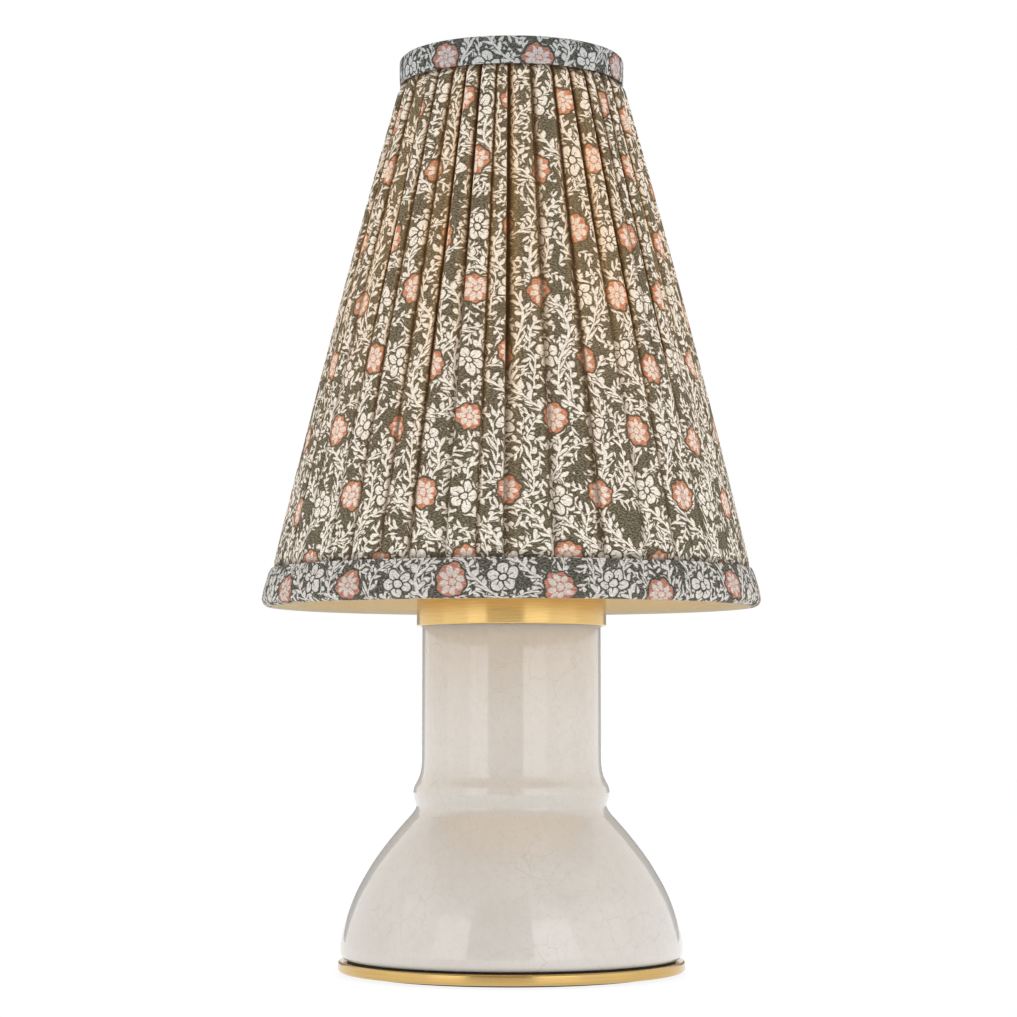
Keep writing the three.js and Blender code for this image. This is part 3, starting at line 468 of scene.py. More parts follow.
# Lengths in mm of flat cloth, colours linear
artwork = {
    "wander": [(0.16, 3.4), (1.3, 0.36), (3.6, 0.3)],  # noise scale and reach, from broad to fine
    "cellWidth": 16.5,
    "cellHeight": 22.0,
    "tossAcross": 3.4,
    "tossUp": 6.0,
    "petals": 5,
    "petalReach": 2.9,
    "petalRoot": 1.75,
    "rosetteRadius": 4.6,
    "drops": 8,
    "thread": 0.62,
    "groundDark": (0.020, 0.022, 0.017, 1),
    "groundLight": (0.208, 0.197, 0.160, 1),
    "groundThread": (0.034, 0.034, 0.026, 1),
    "paleDark": (0.70, 0.655, 0.60, 1),
    "paleLight": (0.94, 0.895, 0.835, 1),
    "paleThread": (0.36, 0.32, 0.27, 1),
    "coralDark": (0.43, 0.155, 0.10, 1),
    "coralLight": (0.62, 0.29, 0.21, 1),
    "ink": (0.035, 0.033, 0.026, 1),
    "wornTone": (0.12, 0.11, 0.085, 1),
    "largeStems": {"slant": 14, "spacing": 15.5, "offset": 8.25, "swing": 4.9, "period": 42, "seed": 3},
    "largeLeaves": {"pitch": 3.5, "leafLength": 3.6, "leafWidth": 0.62, "tilt": 46, "thick": 0.85},
    "middleStems": {"slant": -31, "spacing": 14.0, "offset": 2.0, "swing": 4.2, "period": 34, "seed": 17},
    "middleLeaves": {"pitch": 3.0, "leafLength": 3.1, "leafWidth": 0.55, "tilt": 44, "thick": 0.6},
    "sprigLeaves": {"pitch": 2.5, "leafLength": 2.6, "leafWidth": 0.5, "tilt": 44, "thick": 0.45},
    "sprigsPerMm": 0.148,
    "sprigBend": 0.07,
    "sprigReach": 3.7,
}


# Place on the cloth in mm, wandering a little so that no two motifs are alike and every edge looks printed
def drawnPlace(group, flat):
    drawn = flat
    for scale, reach in artwork["wander"]:
        noise = noiseOf(group, flat, scale, 1).outputs[1]
        noise = shape(group, noise, "SUBTRACT", (0.5, 0.5, 0.5)).outputs[0]
        drawn = shape(group, noise, "MULTIPLY_ADD", (reach, reach, 0), drawn).outputs[0]
    return drawn


# A checkerboard of cells with one motif in each: the distance and angle from its middle, and 0 or 1 by turns
def motifCells(group, x, y):
    column = calc(group, "FLOOR", calc(group, "DIVIDE", x, artwork["cellWidth"]))
    row = calc(group, "FLOOR", calc(group, "DIVIDE", y, artwork["cellHeight"]))
    odd = calc(group, "FLOORED_MODULO", calc(group, "ADD", column, row), 2.0)
    toss = addNode(group, "TexWhiteNoise", noise_dimensions="2D")
    put(group, addNode(group, "CombineXYZ", column, row, 0.0).outputs[0], toss.inputs["Vector"])
    tossed = addNode(group, "SeparateXYZ", toss.outputs["Color"]).outputs

    def fromMiddle(place, index, cellSize, tossedBy, reach):
        inCell = calc(group, "MULTIPLY_ADD", index, -cellSize, calc(group, "SUBTRACT", place, cellSize / 2))
        return calc(group, "MULTIPLY_ADD", tossedBy, -reach, calc(group, "ADD", inCell, reach / 2))

    sideX = fromMiddle(x, column, artwork["cellWidth"], tossed[0], artwork["tossAcross"])
    sideY = fromMiddle(y, row, artwork["cellHeight"], tossed[1], artwork["tossUp"])
    squared = calc(group, "MULTIPLY_ADD", sideX, sideX, calc(group, "MULTIPLY", sideY, sideY))
    angle = calc(group, "MULTIPLY_ADD", tossed[2], 3.0, calc(group, "ARCTAN2", sideY, sideX))
    return calc(group, "SQRT", squared), angle, odd


# Distance into the flower, under zero inside, its filled shape, and what is pale in it
def petalFlower(group, radius, angle):
    halfTurn = calc(group, "MULTIPLY", angle, artwork["petals"] / 2)
    lobes = calc(group, "ABSOLUTE", calc(group, "COSINE", halfTurn))
    petalEdge = calc(group, "MULTIPLY_ADD", calc(group, "POWER", lobes, 0.6), artwork["petalReach"],
                     artwork["petalRoot"])
    flower = calc(group, "SUBTRACT", radius, petalEdge)
    petalFill = below(group, flower, 0, 0.3)
    gaps = below(group, calc(group, "MULTIPLY", lobes, radius), 0.55, 0.4)
    ribs = calc(group, "ABSOLUTE", calc(group, "SINE", halfTurn))
    ribLine = calc(group, "MULTIPLY", below(group, calc(group, "MULTIPLY", ribs, radius), 0.28, 0.25),
                   below(group, radius, 2.9, 0.4))
    heart = below(group, radius, 1.0, 0.25)
    heartRing = calc(group, "SUBTRACT", below(group, radius, 1.5, 0.25), heart)
    inked = calc(group, "MAXIMUM", calc(group, "MAXIMUM", gaps, ribLine), heartRing)
    pale = calc(group, "MULTIPLY", petalFill, calc(group, "SUBTRACT", 1.0, inked))
    return flower, petalFill, calc(group, "MAXIMUM", pale, heart)


# Pale drops round a pale eye in a coral disc with a scalloped rim, given as the flower is
def coralRosette(group, radius, angle):
    drops = artwork["drops"]
    scallop = calc(group, "COSINE", calc(group, "MULTIPLY", angle, float(drops)))
    scallop = calc(group, "MULTIPLY", scallop, 0.28)
    rosette = calc(group, "SUBTRACT", radius, calc(group, "ADD", scallop, artwork["rosetteRadius"]))
    coralFill = below(group, rosette, 0, 0.3)
    wedge = calc(group, "FLOORED_MODULO", angle, fullTurn / drops)
    wedge = calc(group, "SUBTRACT", wedge, fullTurn / drops / 2)
    dropX = calc(group, "SUBTRACT", calc(group, "MULTIPLY", radius, calc(group, "COSINE", wedge)), 2.65)
    dropY = calc(group, "MULTIPLY", radius, calc(group, "SINE", wedge))
    dropX = calc(group, "DIVIDE", dropX, 1.35)
    dropY = calc(group, "DIVIDE", dropY, 0.88)
    drop = calc(group, "MULTIPLY_ADD", dropX, dropX, calc(group, "MULTIPLY", dropY, dropY))
    pale = calc(group, "MAXIMUM", below(group, drop, 1.0, 0.4), below(group, radius, 1.02, 0.25))
    return rosette, coralFill, calc(group, "MULTIPLY", pale, coralFill)


# Distance into a stem along run with leaves on both sides of it, under zero inside
def leafRow(group, aside, run, leafSpread, pitch, leafLength, leafWidth, tilt, thick):
    away = calc(group, "ABSOLUTE", aside)
    other = calc(group, "LESS_THAN", aside, 0.0)
    climb = calc(group, "MULTIPLY_ADD", other, pitch / 2, run)
    along = calc(group, "SUBTRACT", calc(group, "FLOORED_MODULO", climb, pitch), pitch * 0.16)
    cosine, sine = math.cos(math.radians(tilt)), math.sin(math.radians(tilt))
    out = calc(group, "MULTIPLY_ADD", along, sine, calc(group, "MULTIPLY", away, cosine))
    rise = calc(group, "MULTIPLY_ADD", along, cosine, calc(group, "MULTIPLY", away, -sine))
    share = calc(group, "DIVIDE", calc(group, "DIVIDE", out, leafLength), leafSpread)
    belly = calc(group, "MULTIPLY", calc(group, "SUBTRACT", 1.0, share), share)
    leaf = calc(group, "SUBTRACT", calc(group, "ABSOLUTE", rise),
                calc(group, "MULTIPLY", belly, 4 * leafWidth))
    return calc(group, "MINIMUM", leaf, calc(group, "SUBTRACT", away, thick / 2))


def turned(group, sideways, upward, cosine, sine):
    first = calc(group, "MULTIPLY_ADD", sideways, cosine, calc(group, "MULTIPLY", upward, sine))
    back = calc(group, "MULTIPLY", calc(group, "MULTIPLY", sideways, sine), -1.0)
    return first, calc(group, "MULTIPLY_ADD", upward, cosine, back)


# A family of waving stems side by side, each lane with its own phase
def stems(group, x, y, leafSpread, leaves, slant, spacing, offset, swing, period, seed):
    side, run = turned(group, x, y, math.cos(math.radians(slant)), math.sin(math.radians(slant)))
    lane = calc(group, "FLOOR", calc(group, "DIVIDE", calc(group, "SUBTRACT", side, offset), spacing))
    pick = addNode(group, "TexWhiteNoise", noise_dimensions="1D")
    put(group, calc(group, "ADD", lane, seed), pick.inputs["W"])
    phase = calc(group, "MULTIPLY", pick.outputs[0], fullTurn)
    wave = calc(group, "MULTIPLY_ADD", run, fullTurn / period, phase)
    centre = calc(group, "MULTIPLY_ADD", calc(group, "SINE", wave), swing,
                  calc(group, "MULTIPLY_ADD", lane, spacing, offset + spacing / 2))
    shifted = calc(group, "MULTIPLY_ADD", pick.outputs[0], 23.0, run)
    return leafRow(group, calc(group, "SUBTRACT", side, centre), shifted, leafSpread, **leaves)


# Short sprigs, one to a cell and each turned its own way, fill what the stems leave
def scatteredSprigs(group, drawn, leafSpread):
    cells = addNode(group, "TexVoronoi")
    put(group, drawn, cells.inputs["Vector"])
    cells.inputs["Scale"].default_value = artwork["sprigsPerMm"]
    cells.inputs["Randomness"].default_value = 0.8
    offCentre = shape(group, drawn, "SUBTRACT", cells.outputs["Position"]).outputs[0]
    offCentre = addNode(group, "SeparateXYZ", offCentre)
    turn = calc(group, "MULTIPLY", addNode(group, "SeparateXYZ", cells.outputs["Color"]).outputs[0], fullTurn)
    side, run = turned(group, offCentre.outputs[0], offCentre.outputs[1], calc(group, "COSINE", turn),
                       calc(group, "SINE", turn))
    bend = calc(group, "MULTIPLY", calc(group, "MULTIPLY", run, run), artwork["sprigBend"])
    sprigs = leafRow(group, calc(group, "SUBTRACT", side, bend), run, leafSpread, **artwork["sprigLeaves"])
    return calc(group, "MAXIMUM", sprigs, calc(group, "SUBTRACT", calc(group, "ABSOLUTE", run),
                                               artwork["sprigReach"]))


# Plain weave, slubs along both threads, and the uneven take-up of the dye
def linen(group, flat):
    threads = addNode(group, "SeparateXYZ", flat)
    warp = calc(group, "SINE", calc(group, "MULTIPLY", threads.outputs[0], fullTurn / artwork["thread"]))
    weft = calc(group, "SINE", calc(group, "MULTIPLY", threads.outputs[1], fullTurn / artwork["thread"]))
    weave = calc(group, "MULTIPLY_ADD", calc(group, "MULTIPLY", warp, weft), 0.5, 0.5)
    slubX = noiseOf(group, stretched(group, flat, 0.35, 2.6, 0), 1.0, 2).outputs[0]
    slubY = noiseOf(group, stretched(group, flat, 2.6, 0.35, 0), 1.0, 2).outputs[0]
    slubs = calc(group, "MULTIPLY", calc(group, "ADD", slubX, slubY), 0.5)
    twill = addNode(group, "Mapping", flat, (0, 0, 0), (0, 0, math.radians(40)), (1.1, 2.6, 1)).outputs[0]
    return weave, slubs, noiseOf(group, twill, 1.0, 1, 0.7).outputs[0]


# The print in flat cloth coordinates: rosettes, five-petal flowers, stems with leaves, and sprigs
def floralPrint():
    group, given, result = newGroup("floralPrint", {"Place": "Vector"},
                                    {"Colour": "Color", "Pale": "Float", "Weave": "Float"})
    flat = shape(group, given["Place"], "SCALE")
    flat.inputs["Scale"].default_value = 1 / mm
    flat = flat.outputs[0]
    drawn = drawnPlace(group, flat)
    x, y = addNode(group, "SeparateXYZ", drawn).outputs[:2]
    radius, angle, odd = motifCells(group, x, y)
    flower, petalFill, flowerPale = petalFlower(group, radius, angle)
    rosette, coralFill, rosettePale = coralRosette(group, radius, angle)
    motif = addNode(group, "Mix", odd, data_type="FLOAT")
    put(group, flower, motif.inputs[2])
    put(group, rosette, motif.inputs[3])
    motif = motif.outputs[0]

    leafSpread = remap(group, noiseOf(group, flat, 0.22, 1).outputs[0], 0.35, 0.65, 0.75, 1.25)
    large = stems(group, x, y, leafSpread, artwork["largeLeaves"], **artwork["largeStems"])
    middle = stems(group, x, y, leafSpread, artwork["middleLeaves"], **artwork["middleStems"])
    sprigs = scatteredSprigs(group, drawn, leafSpread)

    # Each layer of stems is printed over the one behind it, with a dark line round it
    backPale = below(group, sprigs, 0.0, 0.26)
    outline = calc(group, "SUBTRACT", below(group, sprigs, 0.3, 0.26), backPale)
    room = calc(group, "SUBTRACT", 1.0, below(group, motif, 0.75, 0.3))
    for layer in (middle, large):
        fill = below(group, layer, 0.0, 0.26)
        edge = below(group, layer, 0.36, 0.26)
        hidden = calc(group, "SUBTRACT", 1.0, edge)
        backPale = calc(group, "MAXIMUM", calc(group, "MULTIPLY", backPale, hidden), fill)
        outline = calc(group, "MAXIMUM", calc(group, "MULTIPLY", outline, hidden),
                       calc(group, "SUBTRACT", edge, fill))
    backPale = calc(group, "MULTIPLY", backPale, room)
    outline = calc(group, "MAXIMUM", calc(group, "MULTIPLY", outline, room),
                   calc(group, "SUBTRACT", below(group, motif, 0.55, 0.3), below(group, motif, 0.05, 0.3)))

    weave, slubs, dye = linen(group, flat)
    ground = mixColour(group, remap(group, dye, 0.43, 0.58, 0, 1), artwork["groundDark"],
                       artwork["groundLight"])
    ground = mixColour(group, calc(group, "MULTIPLY", weave, 0.25), ground, artwork["groundThread"])
    pale = mixColour(group, remap(group, slubs, 0.35, 0.65, 0, 1), artwork["paleDark"], artwork["paleLight"])
    pale = mixColour(group, calc(group, "MULTIPLY", weave, 0.12), pale, artwork["paleThread"])
    coral = mixColour(group, remap(group, dye, 0.35, 0.65, 0, 1), artwork["coralDark"],
                      artwork["coralLight"])
    colour = mixColour(group, calc(group, "MULTIPLY", outline, 0.55), ground, artwork["ink"])
    colour = mixColour(group, backPale, colour, pale)
    flowerColour = mixColour(group, petalFill, colour, artwork["ink"])
    flowerColour = mixColour(group, flowerPale, flowerColour, pale)
    rosetteColour = mixColour(group, coralFill, colour, coral)
    rosetteColour = mixColour(group, rosettePale, rosetteColour, mixColour(group, 0.22, pale, coral))
    colour = mixColour(group, odd, flowerColour, rosetteColour)
    worn = remap(group, dye, 0.38, 0.56, 0.36, 0)
    colour = mixColour(group, worn, colour, artwork["wornTone"])
    paleShare = addNode(group, "Mix", odd, data_type="FLOAT")
    put(group, calc(group, "MAXIMUM", backPale, flowerPale), paleShare.inputs[2])
    put(group, calc(group, "MAXIMUM", backPale, rosettePale), paleShare.inputs[3])
    put(group, colour, result["Colour"])
    put(group, paleShare.outputs[0], result["Pale"])
    put(group, calc(group, "ADD", calc(group, "MULTIPLY", weave, 0.6), slubs), result["Weave"])
    return group


printGroup = floralPrint()

cloth = {
    "glowPower": 0.85,
    "lampTone": (1.0, 0.64, 0.30, 1),
    "between": (0.54, 0.46, 0.31, 1),  # the lamp's light evens the print out where it comes through
    "betweenShare": 0.46,
    "crestGlow": (0.34, 0.325, 0.30, 1),
    "paintedFoldShade": (0.84, 0.66, 0.44, 1),
    "lampWarmedGround": (1.0, 0.93, 0.80, 1),
    "creaseShadeTone": (0.05, 0.025, 0.008, 1),
    "creaseGlow": (0.16, 0.12, 0.08, 1),
    "topBandShade": (0.82, 0.875, 0.94, 1),
    "rough": 0.92,
    "weaveDepth": 0.35,
}


# Printed linen. Where the mesh has a glow attribute, the lamp's light coming through is painted on as warm
# emission, and painted light and shade tint its colour: a warmer ground, warm painted shade in the folds and
# painted shade along the creases.
def printedCloth(name, lit=False, tint=None):
    material, tree, shader = newMaterial(name)
    laid = addNode(tree, "UVMap", uv_map="cloth").outputs[0]
    art = placeGroup(tree, printGroup, Place=laid)
    colour = art["Colour"]
    # A tint gives a darker copy of the print: painted shade
    if tint:
        colour = tinted(tree, colour, tint)
    if lit:
        glow = addNode(tree, "Attribute", attribute_name="glow").outputs["Fac"]
        crease = addNode(tree, "Attribute", attribute_name="crease").outputs["Fac"]
        # Painted light: the lamp's light warms the dark ground of the print, not its pale parts
        lampWarmed = tinted(tree, colour, cloth["lampWarmedGround"])
        colour = mixColour(tree, calc(tree, "MULTIPLY", art["Pale"], 0.9), lampWarmed, colour)
        # Painted shade in the folds, warmed by the lamp's light coming through
        colour = tinted(tree, colour, mixColour(tree, glow, (1, 1, 1, 1), cloth["paintedFoldShade"]))
        # Painted shade along the creases
        colour = tinted(tree, colour, mixColour(tree, crease, (1, 1, 1, 1), cloth["creaseShadeTone"]))
        through = tinted(tree, mixColour(tree, cloth["betweenShare"], colour, cloth["between"]),
                         cloth["lampTone"])
        shine = mixColour(tree, glow, tinted(tree, colour, cloth["crestGlow"]), through)
        # The painted glow is dimmed along the creases too: painted shade
        shine = tinted(tree, shine, mixColour(tree, crease, (1, 1, 1, 1), cloth["creaseGlow"]))
        feed(tree, shader, glow=shine, power=cloth["glowPower"])
    feed(tree, shader, base=colour, rough=cloth["rough"], sheen=0.04, sheenRough=0.5, specular=0.15,
         normal=bumped(tree, art["Weave"], cloth["weaveDepth"], 0.00012))
    return material


lining = {"dark": (0.56, 0.485, 0.335, 1), "light": (0.63, 0.56, 0.415, 1), "cloud": (0.53, 0.445, 0.295, 1)}


def liningMaterial():
    material, tree, shader = newMaterial("liningCloth")
    place = objectPlace(tree)
    parts = addNode(tree, "SeparateXYZ", place)
    turn = calc(tree, "ARCTAN2", parts.outputs[1], parts.outputs[0])
    along = addNode(tree, "CombineXYZ", calc(tree, "MULTIPLY", turn, 30),
                    calc(tree, "MULTIPLY", parts.outputs[2], 2200), 0.0).outputs[0]
    threads = noiseOf(tree, along, 1.0, 2).outputs[0]
    clouds = noiseOf(tree, place, 30, 2).outputs[0]
    base = mixColour(tree, threads, lining["dark"], lining["light"])
    base = mixColour(tree, remap(tree, clouds, 0.35, 0.7, 0, 0.4), base, lining["cloud"])
    feed(tree, shader, base=base, rough=0.9, specular=0.2, normal=bumped(tree, threads, 0.2, 0.00008))
    return material


materials = {
    "brass": brassMaterial("brass", brass["tone"]),
    "glaze": glazeMaterial(),
    "silicone": plainMaterial("silicone", (0.022, 0.02, 0.018), 0.75),
    "steel": plainMaterial("steel", (0.52, 0.53, 0.54), 0.33, metal=1.0),
    "aluminium": plainMaterial("aluminium", (0.66, 0.67, 0.68), 0.38, metal=1.0),
    "led_board": plainMaterial("ledBoard", (0.85, 0.83, 0.74), 0.45, glow=(1.0, 0.82, 0.5), power=1.4),
    "opal": plainMaterial("opal", (0.80, 0.71, 0.56), 0.42, glow=(1.0, 0.66, 0.32), power=0.26),
    "light_pipe": plainMaterial("lightPipe", (0.8, 0.82, 0.78), 0.25, coat=0.4),
    "black_plastic": plainMaterial("blackPlastic", (0.028, 0.027, 0.026), 0.48, grain=1600, bump=0.4),
    "white_plastic": plainMaterial("whitePlastic", (0.78, 0.77, 0.72), 0.5),
    "cell_wrap": plainMaterial("cellWrap", (0.05, 0.15, 0.24), 0.35, coat=0.3),
    "circuit_board": plainMaterial("circuitBoard", (0.03, 0.11, 0.05), 0.42, coat=0.2),
    "insulation": plainMaterial("insulation", (0.26, 0.03, 0.02), 0.5),
    "painted_wire": plainMaterial("paintedWire", (0.74, 0.70, 0.62), 0.4, bump=0.3),
    "lining_cloth": liningMaterial(),
    "printed_cloth": printedCloth("bandCloth"),
    "gathered_cloth": printedCloth("gatheredCloth", lit=True),
    # The top band is a darker, cooler copy of the band cloth: painted shade
    "top_band_cloth": printedCloth("shadedTopBandCloth", tint=cloth["topBandShade"]),
}
# The foot plate gets a darker copy of the brass: painted shade
shadedPlateBrass = brassMaterial("shadedPlateBrass", brass["plateShadedTone"])
for part in frame["record"]["subparts"]:
    node = frame["nodes"][part["node"]]
    node.data.materials.clear()
    node.data.materials.append(materials[part["material_slot"]])

print("stage 4: base")
basePlate = {
    "bottom": 1.0, "top": 4.5, "edge": 0.45, "sides": 256,
    "bore": 5.3, "nutRecess": 10.0, "nutSeat": 5.1, "boss": 13.0, "bossTop": 8.6,
    "grooveInner": 42.7, "grooveOuter": 49.3, "grooveTop": 2.0,
    "lipInner": 48.7, "lipOuter": 50.0, "lipTop": 6.2,
}
plateRadius = spanOf("base_plate")[2]
plateBottom, plateTop = basePlate["bottom"], basePlate["top"]
ceramicFoot, ceramicTop = spanOf("ceramic_body")[:2]

# The rim's upper edge is turned to a fine bright bead
rimPoints = [(plateRadius - 0.6, plateBottom), (plateRadius, plateBottom + 0.6),
             (plateRadius, plateTop - 0.5), (plateRadius - 0.5, plateTop), (basePlate["lipOuter"], plateTop)]
plateProfile = [(basePlate["bore"], basePlate["nutSeat"]), (basePlate["nutRecess"], basePlate["nutSeat"]),
                (basePlate["nutRecess"], plateBottom), (basePlate["grooveInner"], plateBottom),
                (basePlate["grooveInner"], basePlate["grooveTop"]),
                (basePlate["grooveOuter"], basePlate["grooveTop"]), (basePlate["grooveOuter"], plateBottom)]
plateProfile += rounded([(basePlate["grooveOuter"] + 0.3, plateBottom)] + rimPoints, basePlate["edge"], 5)
plateProfile += [(basePlate["lipOuter"], basePlate["lipTop"]), (basePlate["lipInner"], basePlate["lipTop"]),
                 (basePlate["lipInner"], plateTop), (basePlate["boss"], plateTop),
                 (basePlate["boss"], basePlate["bossTop"]), (basePlate["bore"], basePlate["bossTop"])]
addPiece("base_plate_fine", turnedMesh("basePlate", plateProfile, basePlate["sides"]), "base", "brass",
         shadedPlateBrass, "base_plate")

footRing = {"outer": 49.0, "inner": 43.0, "height": 2.0, "edge": 0.25}
footOuter, footInner, footHeight = footRing["outer"], footRing["inner"], footRing["height"]
footProfile = rounded([(46, 0), (footOuter - 0.3, 0), (footOuter, 0.4), (footOuter, footHeight),
                       (footInner, footHeight), (footInner, 0.4), (footInner + 0.3, 0), (46, 0)],
                      footRing["edge"], 3)
addPiece("foot_ring_fine", turnedMesh("footRing", footProfile[:-1], 192), "base", "silicone",
         materials["silicone"], "foot_ring")

footGasket = {"inner": 50.8, "outer": 53.2}
gasketProfile = [(footGasket["inner"], plateTop), (footGasket["outer"], plateTop),
                 (footGasket["outer"], ceramicFoot), (footGasket["inner"], ceramicFoot)]
addPiece("foot_gasket_fine", turnedMesh("footGasket", gasketProfile, 192), "base", "silicone",
         materials["silicone"], "foot_gasket")

# Ceramic: the outer line runs from the foot over the bowl and the bead to the neck, the inner line back down
ceramicBody = {
    "outerLine": [(53.3, 5.0), (54.35, 5.25), (55.2, 6.3), (55.55, 8.0), (55.35, 10.8), (54.67, 14.0),
                  (53.43, 18.5), (51.81, 23.0), (49.85, 27.4), (47.35, 31.9), (44.6, 36.4), (41.36, 40.9),
                  (37.79, 45.4), (34.14, 49.6), (32.37, 51.55), (31.2, 53.3), (31.0, 54.5), (31.55, 56.2),
                  (31.95, 58.3), (31.62, 60.3), (31.12, 61.4), (30.56, 62.4), (29.9, 64.0), (29.4, 66.2),
                  (29.16, 70.0)],
    "innerLine": [(24.6, 55.5), (29.5, 47.0), (37.5, 39.5), (46.5, 25.0), (50.2, 10.0), (50.4, 6.5)],
    "neckRadius": 29.14,
    "neckBore": 23.74,
    "sides": 288,
}
neckRadius, neckBore = ceramicBody["neckRadius"], ceramicBody["neckBore"]
ceramicProfile = smoothLine(ceramicBody["outerLine"] + [(neckRadius, 80.0)], 4)
ceramicProfile += [(neckRadius, ceramicTop - 0.7), (neckRadius - 0.2, ceramicTop - 0.2),
                   (neckRadius - 0.7, ceramicTop), (24.0, ceramicTop), (neckBore, ceramicTop - 0.3)]
ceramicProfile += smoothLine([(neckBore, 63.0)] + ceramicBody["innerLine"], 3) + [(50.4, 5.0)]
ceramicMesh = turnedMesh("ceramic", ceramicProfile, ceramicBody["sides"])

# The slot for the charging port is cut through the rear wall
portSlot = {"halfSpan": 9.0, "radius": 5.3, "from": 30.0, "to": 70.0}
portAxis = (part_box("port_bezel")[0].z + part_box("port_bezel")[1].z) / 2 / mm
bm = bmesh.new()
rim = []
for side in (1, -1):
    for step in range(25):
        turn = math.pi * step / 24 - side * math.pi / 2
        across = side * portSlot["halfSpan"] + portSlot["radius"] * math.cos(turn)
        upward = portAxis + portSlot["radius"] * math.sin(turn)
        rim.append(bm.verts.new((across * mm, portSlot["from"] * mm, upward * mm)))
pushed = bmesh.ops.extrude_face_region(bm, geom=[bm.faces.new(rim)])
for element in pushed["geom"]:
    if isinstance(element, bmesh.types.BMVert):
        element.co.y = portSlot["to"] * mm
bmesh.ops.recalc_face_normals(bm, faces=bm.faces)
cutterMesh = bpy.data.meshes.new("slotCutter")
bm.to_mesh(cutterMesh)
bm.free()
cutter = bpy.data.objects.new("slotCutter", cutterMesh)
scene.collection.objects.link(cutter)
ceramic = addPiece("ceramic_body_fine", ceramicMesh, "base", "glaze", materials["glaze"], "ceramic_body")
opening = ceramic.modifiers.new("slot", "BOOLEAN")
opening.object = cutter
opening.operation = "DIFFERENCE"
opening.solver = "EXACT"
bpy.context.view_layer.update()
cutMesh = bpy.data.meshes.new_from_object(ceramic.evaluated_get(bpy.context.evaluated_depsgraph_get()))
ceramic.modifiers.clear()
ceramic.data = cutMesh
bpy.data.objects.remove(cutter)

neckGasket = {"inner": 24.24, "outer": 28.34, "thick": 0.5}
gasketTop = ceramicTop + neckGasket["thick"]
neckGasketProfile = [(neckGasket["inner"], ceramicTop), (neckGasket["outer"], ceramicTop),
                     (neckGasket["outer"], gasketTop), (neckGasket["inner"], gasketTop)]
addPiece("neck_gasket_fine", turnedMesh("neckGasket", neckGasketProfile, 128), "base", "silicone",
         materials["silicone"], "neck_gasket")

collar = {"bore": 29.44, "topThick": 2.0, "pipeHole": 6.0, "edge": 0.5, "sides": 256}
collarBottom, collarTop, collarRadius = spanOf("collar")
collarOuter = rounded([(collar["bore"], collarBottom), (collarRadius, collarBottom),
                       (collarRadius, collarTop), (collar["pipeHole"], collarTop)], collar["edge"], 5)
collarProfile = [(collar["bore"], collarTop - collar["topThick"])] + collarOuter
collarProfile += [(collar["pipeHole"], collarTop - collar["topThick"])]
addPiece("collar_fine", turnedMesh("collar", collarProfile, collar["sides"]), "base", "brass",
         materials["brass"], "collar")

print("stage 5: light column")
lightBase = {"radius": 25.5, "seat": 21.7, "spigot": 6.0, "coreBore": 9.3, "bore": 5.3, "edge": 0.6}
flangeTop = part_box("diffuser")[0].z / mm
spigotTop = flangeTop + lightBase["spigot"]
lightBaseProfile = [(lightBase["bore"], collarTop)]
lightBaseProfile += rounded([(9, collarTop), (lightBase["radius"], collarTop),
                             (lightBase["radius"], flangeTop), (lightBase["seat"], flangeTop),
                             (lightBase["seat"], spigotTop)], lightBase["edge"], 3)
lightBaseProfile += [(lightBase["coreBore"], spigotTop), (lightBase["coreBore"], flangeTop),
                     (lightBase["bore"], flangeTop)]
addPiece("light_base_fine", turnedMesh("lightBase", lightBaseProfile, 160), "base", "aluminium",
         materials["aluminium"], "light_base")

diffuser = {"outer": 24.0, "inner": 22.0, "edge": 0.3}
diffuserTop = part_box("diffuser")[1].z / mm
tubeProfile = rounded([(23, flangeTop), (diffuser["outer"], flangeTop), (diffuser["outer"], diffuserTop),
                       (diffuser["inner"], diffuserTop), (diffuser["inner"], flangeTop), (23, flangeTop)],
                      diffuser["edge"], 3)
addPiece("diffuser_fine", turnedMesh("diffuser", tubeProfile[:-1], 160), "base", "opal", materials["opal"],
         "diffuser")

diffuserCap = {"radius": 24.4, "plugRadius": 21.7, "plugDeep": 3.0, "bore": 3.3, "edge": 0.9}
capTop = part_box("diffuser_cap")[1].z / mm
plugBottom = diffuserTop - diffuserCap["plugDeep"]
capProfile = [(diffuserCap["bore"], plugBottom), (diffuserCap["plugRadius"], plugBottom),
              (diffuserCap["plugRadius"], diffuserTop)]
capProfile += rounded([(22.5, diffuserTop), (diffuserCap["radius"], diffuserTop),
                       (diffuserCap["radius"], capTop), (diffuserCap["bore"], capTop)],
                      diffuserCap["edge"], 5)
addPiece("diffuser_cap_fine", turnedMesh("diffuserCap", capProfile, 160), "base", "brass", materials["brass"],
         "diffuser_cap")

centreRod = {"threadFrom": 271.0, "threadPitch": 0.7, "threadDeep": 0.25}
rodBottom, rodTop, rodRadius = spanOf("centre_rod")
rodProfile = [(0, rodBottom), (rodRadius, rodBottom), (rodRadius, centreRod["threadFrom"] - 1)]
turnHeight = centreRod["threadFrom"]
while turnHeight < rodTop - 1.2:
    rodProfile += [(rodRadius - centreRod["threadDeep"], turnHeight),
                   (rodRadius, turnHeight + centreRod["threadPitch"] / 2)]
    turnHeight += centreRod["threadPitch"]
rodProfile += [(rodRadius - 0.4, rodTop - 0.6), (rodRadius - 0.9, rodTop), (0, rodTop)]
addPiece("centre_rod_fine", turnedMesh("centreRod", rodProfile, 64, 50), "base", "brass", materials["brass"],
         "centre_rod")

